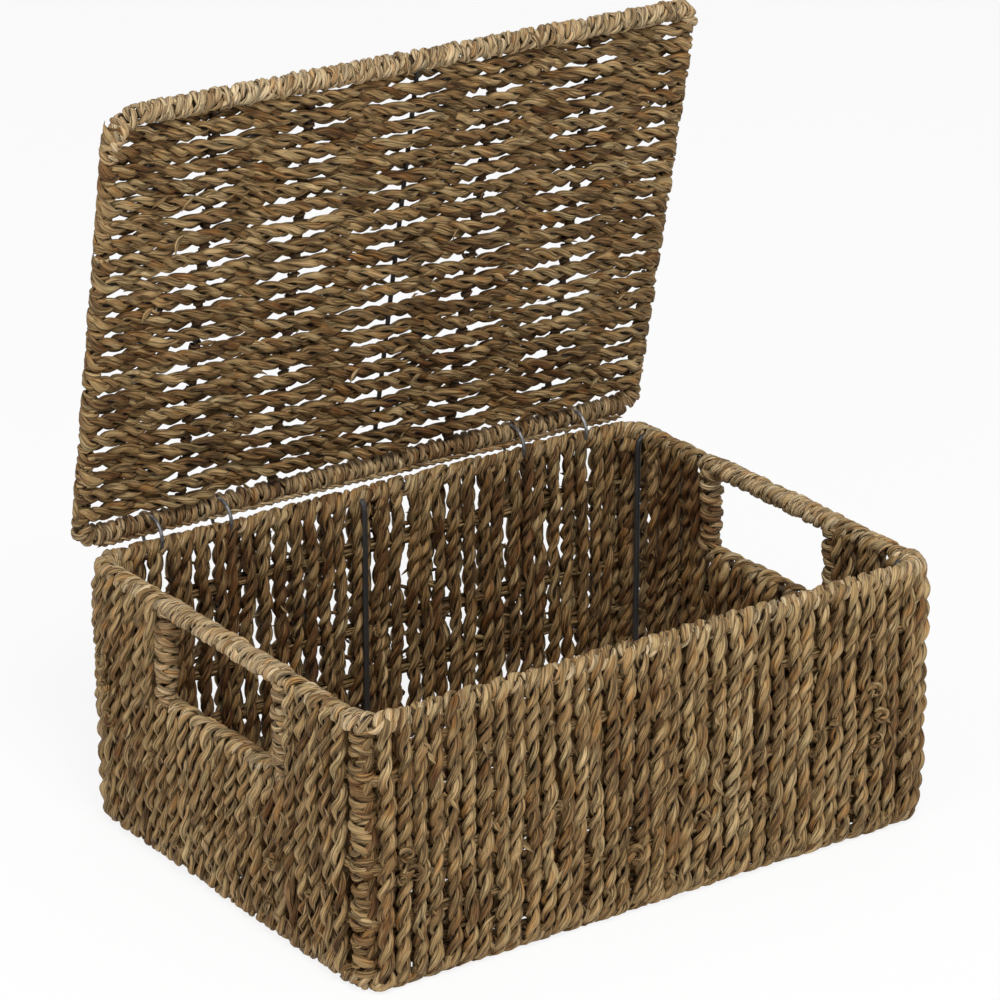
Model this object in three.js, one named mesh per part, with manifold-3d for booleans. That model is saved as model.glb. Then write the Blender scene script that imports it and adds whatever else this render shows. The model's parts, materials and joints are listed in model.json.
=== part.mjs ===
import * as THREE from 'three';
import { mergeVertices } from 'three/addons/utils/BufferGeometryUtils.js';
import Module from 'manifold-3d';

// A woven box with a hinged lid: seagrass rope worked over a steel wire frame.
// Millimetres, +Z up, the long side along X, the front towards -Y, the origin on the
// resting face below the middle of the base. The lid stands open, as it is used.

const wasm = await Module();
wasm.setup();

// Box frame
const RIM_LENGTH = 400;          // rim wire centre lines, left to right
const RIM_WIDTH = 290;           // rim wire centre lines, front to back
const RIM_HEIGHT = 164;          // rim wire centre above the resting face
const CORNER_RADIUS = 14;        // bend of the box's frame wires at the corners
const FRAME_WIRE_DIAMETER = 3.6;
const WAIST_WIRE_DIAMETER = 2.6;
const STAY_DIAMETER = 3.8;
const STAY_BEND_RADIUS = 5.5;
const STAY_STANDOFF = 0.4;       // from the bound wire's side to a stay
const POST_FROM_CORNER = 17;     // corner post to the front or back wall's mid plane

// Rope work
const BOUND_WIRE_DIAMETER = 12.8;  // a frame wire with the rope wound over it
const WALL_THICKNESS = 12;
const BASE_THICKNESS = 11;
const CLEARANCE = 0.3;             // between rope and wire, and between neighbours

// Handle openings in the short walls
const HANDLE_WIDTH = 112;
const HANDLE_HEIGHT = 47;
const HANDLE_BEND_RADIUS = 5;
const GRIP_LOOPS = 24;
const GRIP_LOOP_GAP = 0.7;         // between one loop of the grip's rope and the next
const GRIP_CORE_GAP = 0.4;
const GRIP_LOOP_STEPS = 8;
const GRIP_ROPE_SIDES = 5;
const gripTurnShare = 1.5;         // the bend at each end, over half the rope's width

// Lid
const LID_END_OVERHANG = 5;        // its wire past the rim wire at each end
const LID_FRONT_SETBACK = 10;      // its wire short of the rim wire in front, when shut
const LID_LEFT_CORNER_RADIUS = 20; // the free corners were bent by hand and don't match
const LID_RIGHT_CORNER_RADIUS = 9;
const LID_HINGE_CORNER_RADIUS = 9;
const LID_WIRE_DIAMETER = 3;
const LID_WEAVE_THICKNESS = 11;
const LID_SLOT = 5;                // open slot between the lid's long bars and its weave
const LID_OPEN_ANGLE = 78.5;       // degrees from shut to the rest pose
const CLOSED_GAP = 0.5;            // between the lid's bars and the rim when it is shut

// Hinge rings
const RING_WIRE_DIAMETER = 2.2;
const RING_SIDE_GAP = 0.5;

// Places along the length and the height, as shares of the sizes they follow
const ringShares = [-0.79, -0.545, 0.545, 0.79];
const stayShare = -0.07;
const baseWireShares = [-0.6, 0, 0.6];
const lowWaistShare = 0.35;
const middleWaistShare = 0.7;
const highWaistShare = 0.42;
const lidWireShares = [-0.66, -0.34, 0.02, 0.3, 0.66];

// Counts
const WIRE_SIDES = 8;
const STAY_SIDES = 8;
const BOUND_SIDES = 12;
const BEND_STEPS = 3;
const RING_SIDES = 6;
const RING_STEPS = 20;

// Worked out from the sizes above
const rimX = RIM_LENGTH / 2;
const rimY = RIM_WIDTH / 2;
const boundRadius = BOUND_WIRE_DIAMETER / 2;
const frameRadius = FRAME_WIRE_DIAMETER / 2;
const stayRadius = STAY_DIAMETER / 2;
const baseWireZ = boundRadius;
const wallBottom = BOUND_WIRE_DIAMETER + CLEARANCE;
const wallTop = RIM_HEIGHT - boundRadius - CLEARANCE;
const jambY = HANDLE_WIDTH / 2 + boundRadius;
const sillZ = RIM_HEIGHT - HANDLE_HEIGHT - BOUND_WIRE_DIAMETER;
const openAngle = THREE.MathUtils.degToRad(LID_OPEN_ANGLE);

// The rings hold the lid's hinge bar and the rim bar apart by barSpacing. Turned about
// the rings' centre, the lid's bar ends straight above the rim when the lid is shut.
const barSpacing = (BOUND_WIRE_DIAMETER + CLOSED_GAP) / Math.cos(openAngle / 2);
const ringDirection = (Math.PI - openAngle) / 2;
const hingeY = rimY + (barSpacing / 2) * Math.cos(ringDirection);
const hingeZ = RIM_HEIGHT + (barSpacing / 2) * Math.sin(ringDirection);
const lidBarY = (barSpacing / 2) * Math.cos(ringDirection + openAngle);
const lidBarZ = (barSpacing / 2) * Math.sin(ringDirection + openAngle);
const ringCentreRadius = barSpacing / 2 + frameRadius + CLEARANCE + RING_WIRE_DIAMETER / 2;

const ropeColour = new THREE.Color(0.5, 0.4, 0.26);
const bindingColour = new THREE.Color(0.56, 0.46, 0.31);
const darkSteelColour = new THREE.Color(0.07, 0.07, 0.08);
const zincColour = new THREE.Color(0.55, 0.55, 0.54);

function ropeMaterial(colour) {
  return new THREE.MeshStandardMaterial({ color: colour, roughness: 0.85, metalness: 0 });
}

function steelMaterial(colour, roughness) {
  return new THREE.MeshStandardMaterial({ color: colour, roughness, metalness: 1 });
}

// A route through given points, so that a tube bends only where a point is. Where an end
// lies on a bend, its end face is square to the bend itself and not to the last chord.
class Route extends THREE.Curve {
  constructor(points, endsOnBends) {
    super();
    this.points = points;
    this.endsOnBends = endsOnBends;
    this.last = points.length - 1;
  }

  getPointAt(share, target = new THREE.Vector3()) {
    return target.copy(this.points[Math.round(share * this.last)]);
  }

  chord(index) {
    return new THREE.Vector3().subVectors(this.points[index + 1], this.points[index]).normalize();
  }

  getTangentAt(share, target = new THREE.Vector3()) {
    const index = Math.round(share * this.last);
    const arriving = this.chord(Math.max(index - 1, 0));
    const leaving = this.chord(Math.min(index, this.last - 1));
    target.addVectors(arriving, leaving).normalize();
    if (this.endsOnBends && (index === 0 || index === this.last)) {
      const inner = this.getTangentAt(index === 0 ? 1 / this.last : 1 - 1 / this.last);
      target.multiplyScalar(2 * target.dot(inner)).sub(inner);
    }
    return target;
  }
}

// A regular outline whose flats lie at the given radius and face along the axes.
function polygon(radius, sides) {
  const reach = radius / Math.cos(Math.PI / sides);
  const points = [];
  for (let i = 0; i < sides; i += 1) {
    const angle = ((i + 0.5) / sides) * 2 * Math.PI;
    points.push(new THREE.Vector2(reach * Math.cos(angle), reach * Math.sin(angle)));
  }
  return new THREE.Shape(points);
}

// The same outline with its corners, not its flats, at the given radius.
function roundWire(radius, sides) {
  return polygon(radius * Math.cos(Math.PI / sides), sides);
}

function tube(points, outline, endsOnBends = false) {
  return new THREE.ExtrudeGeometry(outline, {
    steps: points.length - 1,
    extrudePath: new Route(points, endsOnBends),
  });
}

function vector(x, y, z) {
  return new THREE.Vector3(x, y, z);
}

// The same points with both ends carried on along their last stretch.
function lengthened(points, extra) {
  const first = points[0].clone().sub(points[1]).setLength(extra).add(points[0]);
  const last = points.at(-1).clone().sub(points.at(-2)).setLength(extra).add(points.at(-1));
  return [first, ...points.slice(1, -1), last];
}

// Points of a quarter bend at height z about a corner's centre.
function bend(centreX, centreY, radius, startAngle, z) {
  const points = [];
  for (let i = 0; i <= BEND_STEPS; i += 1) {
    const angle = startAngle + ((i / BEND_STEPS) * Math.PI) / 2;
    points.push(vector(centreX + radius * Math.cos(angle), centreY + radius * Math.sin(angle), z));
  }
  return points;
}

// A flat closed ring of wire: a rounded rectangle with a hole, bevelled to a round section.
function closedWire(low, high, radii, radius, z) {
  const flat = radius * Math.tan(Math.PI / WIRE_SIDES);
  const outline = new THREE.Shape(roundedCorners(low, high, radii, flat));
  outline.holes.push(new THREE.Path(roundedCorners(low, high, radii, -flat)));
  const geometry = new THREE.ExtrudeGeometry(outline, {
    depth: 2 * flat,
    bevelEnabled: true,
    bevelSegments: 1,
    bevelThickness: radius - flat,
    bevelSize: radius - flat,
  });
  return geometry.translate(0, 0, z - flat);
}

// A rectangle's outline with rounded corners, counter-clockwise from the back right one.
// radii.back serves both back corners, radii.left and radii.right the front ones.
function roundedCorners(low, high, radii, grow) {
  const centres = [
    [high.x - radii.back, high.y - radii.back, radii.back],
    [low.x + radii.back, high.y - radii.back, radii.back],
    [low.x + radii.left, low.y + radii.left, radii.left],
    [high.x - radii.right, low.y + radii.right, radii.right],
  ];
  const points = [];
  centres.forEach(([x, y, radius], quarter) => {
    bend(x, y, radius + grow, (quarter * Math.PI) / 2, 0).forEach((point) => {
      points.push(new THREE.Vector2(point.x, point.y));
    });
  });
  return points;
}

function box(low, high) {
  const size = new THREE.Vector3().subVectors(high, low);
  const middle = new THREE.Vector3().addVectors(high, low).multiplyScalar(0.5);
  return new THREE.BoxGeometry(size.x, size.y, size.z).translate(middle.x, middle.y, middle.z);
}

function solid(geometry) {
  const bare = geometry.clone();
  bare.deleteAttribute('normal');
  bare.deleteAttribute('uv');
  const merged = mergeVertices(bare);
  return new wasm.Manifold(new wasm.Mesh({
    numProp: 3,
    vertProperties: new Float32Array(merged.attributes.position.array),
    triVerts: new Uint32Array(merged.index.array),
  }));
}

function surface(manifold) {
  const mesh = manifold.getMesh();
  const geometry = new THREE.BufferGeometry();
  geometry.setAttribute('position', new THREE.BufferAttribute(mesh.vertProperties, 3));
  geometry.setIndex(new THREE.BufferAttribute(mesh.triVerts, 1));
  geometry.computeVertexNormals();
  return geometry;
}

// Rope bodies: the joined solids less the room that wires and rings need.
function ropeBody(geometries, cutters) {
  let body = solid(geometries[0]);
  geometries.slice(1).forEach((geometry) => {
    body = body.add(solid(geometry));
  });
  cutters.forEach((cutter) => {
    body = body.subtract(cutter);
  });
  return surface(body);
}

const group = new THREE.Group();
const lid = new THREE.Group();
lid.position.set(0, hingeY, hingeZ);
lid.rotation.x = -openAngle;
group.add(lid);

function addPiece(parent, name, geometry, material) {
  const mesh = new THREE.Mesh(geometry, material);
  mesh.name = name;
  parent.add(mesh);
}

function addSteel(parent, name, geometry) {
  addPiece(parent, name, geometry, steelMaterial(darkSteelColour, 0.45));
}

function addRope(parent, name, geometries, cutters, colour = ropeColour) {
  addPiece(parent, name, ropeBody(geometries, cutters), ropeMaterial(colour));
}

// Box frame: rim, base and waist wires
const boxLow = new THREE.Vector2(-rimX, -rimY);
const boxHigh = new THREE.Vector2(rimX, rimY);
const boxCorners = { back: CORNER_RADIUS, left: CORNER_RADIUS, right: CORNER_RADIUS };

function boxRing(diameter, z, room) {
  return closedWire(boxLow, boxHigh, boxCorners, diameter / 2 + room, z);
}

const lowWaistZ = baseWireZ + lowWaistShare * (sillZ - baseWireZ);
const middleWaistZ = baseWireZ + middleWaistShare * (sillZ - baseWireZ);
const highWaistZ = sillZ + highWaistShare * (RIM_HEIGHT - sillZ);

addSteel(group, 'rim_wire', boxRing(FRAME_WIRE_DIAMETER, RIM_HEIGHT, 0));
addSteel(group, 'base_wire', boxRing(FRAME_WIRE_DIAMETER, baseWireZ, 0));
addSteel(group, 'low_waist_wire', boxRing(WAIST_WIRE_DIAMETER, lowWaistZ, 0));
addSteel(group, 'middle_waist_wire', boxRing(WAIST_WIRE_DIAMETER, middleWaistZ, 0));
const rimRoom = solid(boxRing(FRAME_WIRE_DIAMETER, RIM_HEIGHT, CLEARANCE));
const baseRoom = solid(boxRing(FRAME_WIRE_DIAMETER, baseWireZ, CLEARANCE));
const lowWaistRoom = solid(boxRing(WAIST_WIRE_DIAMETER, lowWaistZ, CLEARANCE));
const middleWaistRoom = solid(boxRing(WAIST_WIRE_DIAMETER, middleWaistZ, CLEARANCE));

// The high waist wire is in two lengths, front and back, because the handle openings
// break it: each runs from a jamb wire round two corners to the other side's jamb wire.
function highWaistPoints(front) {
  const endY = jambY + frameRadius + CLEARANCE;
  const cornerX = rimX - CORNER_RADIUS;
  const cornerY = rimY - CORNER_RADIUS;
  const points = [
    vector(-rimX, endY, highWaistZ),
    ...bend(-cornerX, cornerY, CORNER_RADIUS, Math.PI / 2, highWaistZ).reverse(),
    ...bend(cornerX, cornerY, CORNER_RADIUS, 0, highWaistZ).reverse(),
    vector(rimX, endY, highWaistZ),
  ];
  return front ? points.map((point) => vector(point.x, -point.y, point.z)) : points;
}

const waistOutline = roundWire(WAIST_WIRE_DIAMETER / 2, WIRE_SIDES);
const waistRoomOutline = roundWire(WAIST_WIRE_DIAMETER / 2 + CLEARANCE, WIRE_SIDES);
const highWaistRooms = [];
[['front', true], ['back', false]].forEach(([side, front]) => {
  const points = highWaistPoints(front);
  addSteel(group, `high_waist_wire_${side}`, tube(points, waistOutline));
  highWaistRooms.push(solid(tube(lengthened(points, CLEARANCE), waistRoomOutline)));
});

// Stays and corner posts stand inside the rope, bent out to the rim and base wires.
// depth is measured inwards from the wall's mid plane.
const stayDepth = boundRadius + stayRadius + STAY_STANDOFF;
const stayEndDepth = frameRadius + CLEARANCE;

function stayPoints(place) {
  const points = [place(stayEndDepth, baseWireZ)];
  for (let i = 0; i <= BEND_STEPS; i += 1) {
    const angle = ((i / BEND_STEPS) * Math.PI) / 2;
    const depth = stayDepth - STAY_BEND_RADIUS * (1 - Math.sin(angle));
    points.push(place(depth, baseWireZ + STAY_BEND_RADIUS * (1 - Math.cos(angle))));
  }
  for (let i = 0; i <= BEND_STEPS; i += 1) {
    const angle = ((i / BEND_STEPS) * Math.PI) / 2;
    const depth = stayDepth - STAY_BEND_RADIUS * (1 - Math.cos(angle));
    points.push(place(depth, RIM_HEIGHT - STAY_BEND_RADIUS * (1 - Math.sin(angle))));
  }
  points.push(place(stayEndDepth, RIM_HEIGHT));
  return points;
}

const stayOutline = roundWire(stayRadius, STAY_SIDES);
const stayRoomOutline = roundWire(stayRadius + CLEARANCE, STAY_SIDES);
const stayRooms = [];

function addStay(name, place) {
  const points = stayPoints(place);
  addSteel(group, name, tube(points, stayOutline));
  stayRooms.push(solid(tube(lengthened(points, CLEARANCE), stayRoomOutline)));
}

const stayX = stayShare * rimX;
const postY = rimY - POST_FROM_CORNER;
addStay('front_stay', (depth, z) => vector(stayX, depth - rimY, z));
addStay('back_stay', (depth, z) => vector(stayX, rimY - depth, z));
addStay('front_left_post', (depth, z) => vector(depth - rimX, -postY, z));
addStay('front_right_post', (depth, z) => vector(rimX - depth, -postY, z));
addStay('back_left_post', (depth, z) => vector(depth - rimX, postY, z));
addStay('back_right_post', (depth, z) => vector(rimX - depth, postY, z));

// Wires across the base, front to back
const frameOutline = roundWire(frameRadius, WIRE_SIDES);
const frameRoomOutline = roundWire(frameRadius + CLEARANCE, WIRE_SIDES);
const baseWireNames = ['left', 'middle', 'right'];
const baseCrossRooms = [];
baseWireShares.forEach((share, index) => {
  const endY = rimY - frameRadius - CLEARANCE;
  const points = [vector(share * rimX, -endY, baseWireZ), vector(share * rimX, endY, baseWireZ)];
  addSteel(group, `base_cross_wire_${baseWireNames[index]}`, tube(points, frameOutline));
  baseCrossRooms.push(solid(tube(lengthened(points, CLEARANCE), frameRoomOutline)));
});

// Handle frames: a U of wire hung from the rim wire at each end of the box
function handlePoints(x) {
  const topZ = RIM_HEIGHT - frameRadius - CLEARANCE;
  const points = [vector(x, -jambY, topZ)];
  for (let i = 0; i <= BEND_STEPS; i += 1) {
    const angle = ((i / BEND_STEPS) * Math.PI) / 2;
    const y = HANDLE_BEND_RADIUS * (1 - Math.cos(angle)) - jambY;
    points.push(vector(x, y, sillZ + HANDLE_BEND_RADIUS * (1 - Math.sin(angle))));
  }
  const mirrored = points.map((point) => vector(x, -point.y, point.z)).reverse();
  return [...points, ...mirrored];
}

const handleRooms = {};
[['left', -rimX], ['right', rimX]].forEach(([side, x]) => {
  const points = handlePoints(x);
  addSteel(group, `${side}_handle_frame`, tube(points, frameOutline));
  handleRooms[side] = solid(tube(lengthened(points, CLEARANCE), frameRoomOutline));
});

// Hinge rings, round both the rim wire and the lid's hinge bar
const ringX = ringShares.map((share) => share * rimX);
const ringNames = ['outer_left', 'inner_left', 'inner_right', 'outer_right'];
ringX.forEach((x, index) => {
  const ring = new THREE.TorusGeometry(ringCentreRadius, RING_WIRE_DIAMETER / 2, RING_SIDES, RING_STEPS);
  ring.rotateY(Math.PI / 2).translate(x, hingeY, hingeZ);
  addPiece(group, `hinge_ring_${ringNames[index]}`, ring, steelMaterial(zincColour, 0.4));
});

// The channels that the rings need through the rope on the bars they join. The rings lie
// about the hinge line, so the lid's channels clear them at every angle.
function ringRooms(y, z) {
  return ringX.map((x) => {
    const radius = RING_WIRE_DIAMETER / 2 + RING_SIDE_GAP;
    const room = new THREE.TorusGeometry(ringCentreRadius, radius, RING_SIDES, RING_STEPS);
    return solid(room.rotateY(Math.PI / 2).translate(x, y, z));
  });
}

// Walls
const boundOutline = polygon(boundRadius, BOUND_SIDES);
const cornerX = rimX - CORNER_RADIUS;
const cornerY = rimY - CORNER_RADIUS;
const waistRooms = [lowWaistRoom, middleWaistRoom, ...highWaistRooms];

[['front', -rimY], ['back', rimY]].forEach(([side, y]) => {
  const endX = cornerX - CLEARANCE;
  const wall = box(
    vector(-endX, y - WALL_THICKNESS / 2, wallBottom),
    vector(endX, y + WALL_THICKNESS / 2, wallTop),
  );
  addRope(group, `${side}_wall_weave`, [wall], waistRooms);
  const bar = tube([vector(-endX, y, RIM_HEIGHT), vector(endX, y, RIM_HEIGHT)], boundOutline);
  const channels = side === 'back' ? ringRooms(hingeY, hingeZ) : [];
  addRope(group, `${side}_rim_rope`, [bar], [rimRoom, ...stayRooms, ...channels], bindingColour);
  const edge = tube([vector(-endX, y, baseWireZ), vector(endX, y, baseWireZ)], boundOutline);
  addRope(group, `${side}_base_edge_rope`, [edge], [baseRoom, ...stayRooms, ...baseCrossRooms]);
});

[['left', -rimX], ['right', rimX]].forEach(([side, x]) => {
  const endY = cornerY - CLEARANCE;
  const openY = jambY + boundRadius + CLEARANCE;
  const openZ = sillZ - boundRadius - CLEARANCE;
  const inner = x - WALL_THICKNESS / 2;
  const outer = x + WALL_THICKNESS / 2;
  const wall = box(vector(inner, -endY, wallBottom), vector(outer, endY, wallTop));
  const opening = solid(box(
    vector(inner - CLEARANCE, -openY, openZ),
    vector(outer + CLEARANCE, openY, wallTop + CLEARANCE),
  ));
  addRope(group, `${side}_wall_weave`, [wall], [opening, ...waistRooms]);
  const edge = tube([vector(x, -endY, baseWireZ), vector(x, endY, baseWireZ)], boundOutline);
  addRope(group, `${side}_base_edge_rope`, [edge], [baseRoom, ...stayRooms]);
  const sillEnd = jambY + boundRadius;
  const sill = tube([vector(x, -sillEnd, sillZ), vector(x, sillEnd, sillZ)], boundOutline);
  addRope(group, `${side}_handle_sill_rope`, [sill], [handleRooms[side]], bindingColour);
  [['front', -1], ['back', 1]].forEach(([end, sign]) => {
    const jamb = tube([
      vector(x, sign * jambY, sillZ + boundRadius + CLEARANCE),
      vector(x, sign * jambY, wallTop),
    ], boundOutline);
    const jambRooms = [handleRooms[side], ...highWaistRooms];
    addRope(group, `${side}_handle_${end}_jamb_rope`, [jamb], jambRooms, bindingColour);
    const shoulder = tube([
      vector(x, sign * (HANDLE_WIDTH / 2 + CLEARANCE), RIM_HEIGHT),
      vector(x, sign * endY, RIM_HEIGHT),
    ], boundOutline);
    const shoulderRooms = [rimRoom, handleRooms[side], ...stayRooms];
    addRope(group, `${side}_rim_${end}_rope`, [shoulder], shoulderRooms, bindingColour);
  });
});

// Corner bindings: a column round each corner, with the rim and base bends bound in
function cornerColumn(signX, signY) {
  const centre = [signX * cornerX, signY * cornerY];
  const quarter = { '1,1': 0, '-1,1': 1, '-1,-1': 2, '1,-1': 3 }[[signX, signY].join(',')];
  const start = (quarter * Math.PI) / 2;
  const outer = bend(...centre, CORNER_RADIUS + WALL_THICKNESS / 2, start, 0);
  const inner = bend(...centre, CORNER_RADIUS - WALL_THICKNESS / 2, start, 0).reverse();
  const outline = new THREE.Shape([...outer, ...inner].map((p) => new THREE.Vector2(p.x, p.y)));
  const column = new THREE.ExtrudeGeometry(outline, {
    depth: RIM_HEIGHT - baseWireZ,
    bevelEnabled: false,
  }).translate(0, 0, baseWireZ);
  const rimBend = tube(bend(...centre, CORNER_RADIUS, start, RIM_HEIGHT), boundOutline, true);
  const baseBend = tube(bend(...centre, CORNER_RADIUS, start, baseWireZ), boundOutline, true);
  return [column, rimBend, baseBend];
}

const cornerRooms = [rimRoom, baseRoom, ...waistRooms];
[['front_left', -1, -1], ['front_right', 1, -1], ['back_left', -1, 1], ['back_right', 1, 1]]
  .forEach(([corner, signX, signY]) => {
    addRope(group, `${corner}_corner_binding`, cornerColumn(signX, signY), cornerRooms, bindingColour);
  });

// Base
const baseX = rimX - boundRadius - CLEARANCE;
const baseY = rimY - boundRadius - CLEARANCE;
const baseSlab = box(vector(-baseX, -baseY, 0), vector(baseX, baseY, BASE_THICKNESS));
const cornerKeepOuts = [[-1, -1], [1, -1], [-1, 1], [1, 1]].map(([signX, signY]) => {
  const innerX = signX * (cornerX - CLEARANCE);
  const innerY = signY * (cornerY - CLEARANCE);
  const outerX = signX * rimX;
  const outerY = signY * rimY;
  return solid(box(
    vector(Math.min(innerX, outerX), Math.min(innerY, outerY), -CLEARANCE),
    vector(Math.max(innerX, outerX), Math.max(innerY, outerY), BASE_THICKNESS + CLEARANCE),
  ));
});
addRope(group, 'base_weave', [baseSlab], [...baseCrossRooms, ...stayRooms, ...cornerKeepOuts]);

// Grip windings: one length of rope wound round the rim wire across each handle opening.
// In the flat plane of the winding, where s runs round the wire and y along it, the rope
// comes straight off the shoulder, turns through a quarter bend and then climbs evenly.
function gripRoute() {
  const ropeHeight = boundRadius - frameRadius - GRIP_CORE_GAP;
  const centreRadius = frameRadius + GRIP_CORE_GAP + ropeHeight / 2;
  const around = 2 * Math.PI * centreRadius;
  const pitch = (HANDLE_WIDTH - ropeHeight) / (GRIP_LOOPS + 1);
  const halfWidth = (pitch - GRIP_LOOP_GAP) / 2;
  const turnRadius = gripTurnShare * halfWidth;
  const straight = ropeHeight;
  const points = [];
  const add = (s, y) => points.push({ s, y });
  const startY = -HANDLE_WIDTH / 2 + CLEARANCE;
  add(0, startY);
  add(0, startY + straight);
  for (let i = 1; i < BEND_STEPS; i += 1) {
    const angle = ((i / BEND_STEPS) * Math.PI) / 2;
    add(turnRadius * (1 - Math.cos(angle)), startY + straight + turnRadius * Math.sin(angle));
  }
  const firstS = turnRadius;
  const firstY = startY + straight + turnRadius;
  const lastS = GRIP_LOOPS * around - turnRadius;
  const steps = GRIP_LOOPS * GRIP_LOOP_STEPS;
  for (let i = 0; i <= steps; i += 1) {
    add(firstS + ((lastS - firstS) * i) / steps, firstY + ((-2 * firstY) * i) / steps);
  }
  for (let i = BEND_STEPS - 1; i >= 1; i -= 1) {
    const angle = ((i / BEND_STEPS) * Math.PI) / 2;
    const s = GRIP_LOOPS * around - turnRadius * (1 - Math.cos(angle));
    add(s, -(startY + straight + turnRadius * Math.sin(angle)));
  }
  add(GRIP_LOOPS * around, -(startY + straight));
  add(GRIP_LOOPS * around, -startY);
  return { points, centreRadius, around, halfWidth, halfHeight: ropeHeight / 2 };
}

// Rings of points round the grip's rope, in the grip's own frame: the wire along Y.
function gripRings(route) {
  return route.points.map(({ s, y }, index) => {
    const before = route.points[Math.max(index - 1, 0)];
    const after = route.points[Math.min(index + 1, route.points.length - 1)];
    const slope = new THREE.Vector2(after.s - before.s, after.y - before.y).normalize();
    const angle = (s / route.around) * 2 * Math.PI - Math.PI / 2;
    const radial = vector(Math.cos(angle), 0, Math.sin(angle));
    const tangential = vector(-Math.sin(angle), 0, Math.cos(angle));
    const along = tangential.multiplyScalar(slope.x).add(vector(0, slope.y, 0)).normalize();
    const across = new THREE.Vector3().crossVectors(along, radial).normalize();
    const centre = radial.clone().multiplyScalar(route.centreRadius).add(vector(0, y, 0));
    const ring = [];
    for (let side = 0; side < GRIP_ROPE_SIDES; side += 1) {
      const turn = (side / GRIP_ROPE_SIDES) * 2 * Math.PI;
      ring.push(centre.clone()
        .addScaledVector(radial, route.halfHeight * Math.cos(turn))
        .addScaledVector(across, route.halfWidth * Math.sin(turn)));
    }
    return { centre, ring };
  });
}

function gripGeometry(rings) {
  const positions = rings.flatMap(({ ring }) => ring.flatMap((point) => point.toArray()));
  const index = [];
  const sides = GRIP_ROPE_SIDES;
  for (let step = 0; step < rings.length - 1; step += 1) {
    for (let side = 0; side < sides; side += 1) {
      const next = (side + 1) % sides;
      const a = step * sides + side;
      const b = step * sides + next;
      index.push(a, b, a + sides, b, b + sides, a + sides);
    }
  }
  const last = (rings.length - 1) * sides;
  for (let side = 1; side < sides - 1; side += 1) {
    index.push(0, side + 1, side);
    index.push(last, last + side, last + side + 1);
  }
  const geometry = new THREE.BufferGeometry();
  geometry.setAttribute('position', new THREE.Float32BufferAttribute(positions, 3));
  geometry.setIndex(index);
  geometry.computeVertexNormals();
  return geometry;
}

// The least gap between one loop's points and those of the loops beside it
function leastSelfGap(rings) {
  let least = Infinity;
  const apart = Math.round(GRIP_LOOP_STEPS / 2);
  rings.forEach(({ ring }, index) => {
    const stop = Math.min(index + GRIP_LOOP_STEPS + apart, rings.length);
    for (let other = index + apart; other < stop; other += 1) {
      ring.forEach((point) => {
        rings[other].ring.forEach((far) => {
          least = Math.min(least, point.distanceTo(far));
        });
      });
    }
  });
  return least;
}

const gripRing = gripRings(gripRoute());
console.log(`grip winding, least gap to itself: ${leastSelfGap(gripRing).toFixed(2)} mm`);
[['left', -rimX], ['right', rimX]].forEach(([side, x]) => {
  const winding = gripGeometry(gripRing).translate(x, 0, RIM_HEIGHT);
  addPiece(group, `${side}_grip_winding`, winding, ropeMaterial(bindingColour));
});

// Lid, drawn shut about the hinge line and then turned open by its group
const lidX = rimX + LID_END_OVERHANG;
const lidFrontY = lidBarY - (RIM_WIDTH - LID_FRONT_SETBACK);
const lidLow = new THREE.Vector2(-lidX, lidFrontY);
const lidHigh = new THREE.Vector2(lidX, lidBarY);
const lidCorners = {
  back: LID_HINGE_CORNER_RADIUS,
  left: LID_LEFT_CORNER_RADIUS,
  right: LID_RIGHT_CORNER_RADIUS,
};
addSteel(lid, 'lid_frame_wire', closedWire(lidLow, lidHigh, lidCorners, frameRadius, lidBarZ));
const lidFrameRoom = solid(closedWire(lidLow, lidHigh, lidCorners, frameRadius + CLEARANCE, lidBarZ));

const lidWireOutline = roundWire(LID_WIRE_DIAMETER / 2, WIRE_SIDES);
const lidWireRoomOutline = roundWire(LID_WIRE_DIAMETER / 2 + CLEARANCE, WIRE_SIDES);
const lidWireNames = ['far_left', 'left', 'middle', 'right', 'far_right'];
const lidWireRooms = lidWireShares.map((share, index) => {
  const endGap = frameRadius + CLEARANCE;
  const points = [
    vector(share * lidX, lidFrontY + endGap, lidBarZ),
    vector(share * lidX, lidBarY - endGap, lidBarZ),
  ];
  addSteel(lid, `lid_cross_wire_${lidWireNames[index]}`, tube(points, lidWireOutline));
  return solid(tube(lengthened(points, CLEARANCE), lidWireRoomOutline));
});

// The lid's weave, with its free corners rounded inside the bent frame wire
const edgeGap = boundRadius + CLEARANCE;
const weaveLow = new THREE.Vector2(-lidX + edgeGap, lidFrontY + boundRadius + LID_SLOT);
const weaveHigh = new THREE.Vector2(lidX - edgeGap, lidBarY - boundRadius - LID_SLOT);
const weaveCorners = {
  back: LID_HINGE_CORNER_RADIUS - LID_SLOT,
  left: LID_LEFT_CORNER_RADIUS - LID_SLOT,
  right: LID_RIGHT_CORNER_RADIUS - LID_SLOT,
};
const weaveOutline = new THREE.Shape(roundedCorners(weaveLow, weaveHigh, weaveCorners, 0));
const lidWeave = new THREE.ExtrudeGeometry(weaveOutline, {
  depth: LID_WEAVE_THICKNESS,
  bevelEnabled: false,
}).translate(0, 0, lidBarZ - LID_WEAVE_THICKNESS / 2);
addRope(lid, 'lid_weave', [lidWeave], lidWireRooms);

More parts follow.
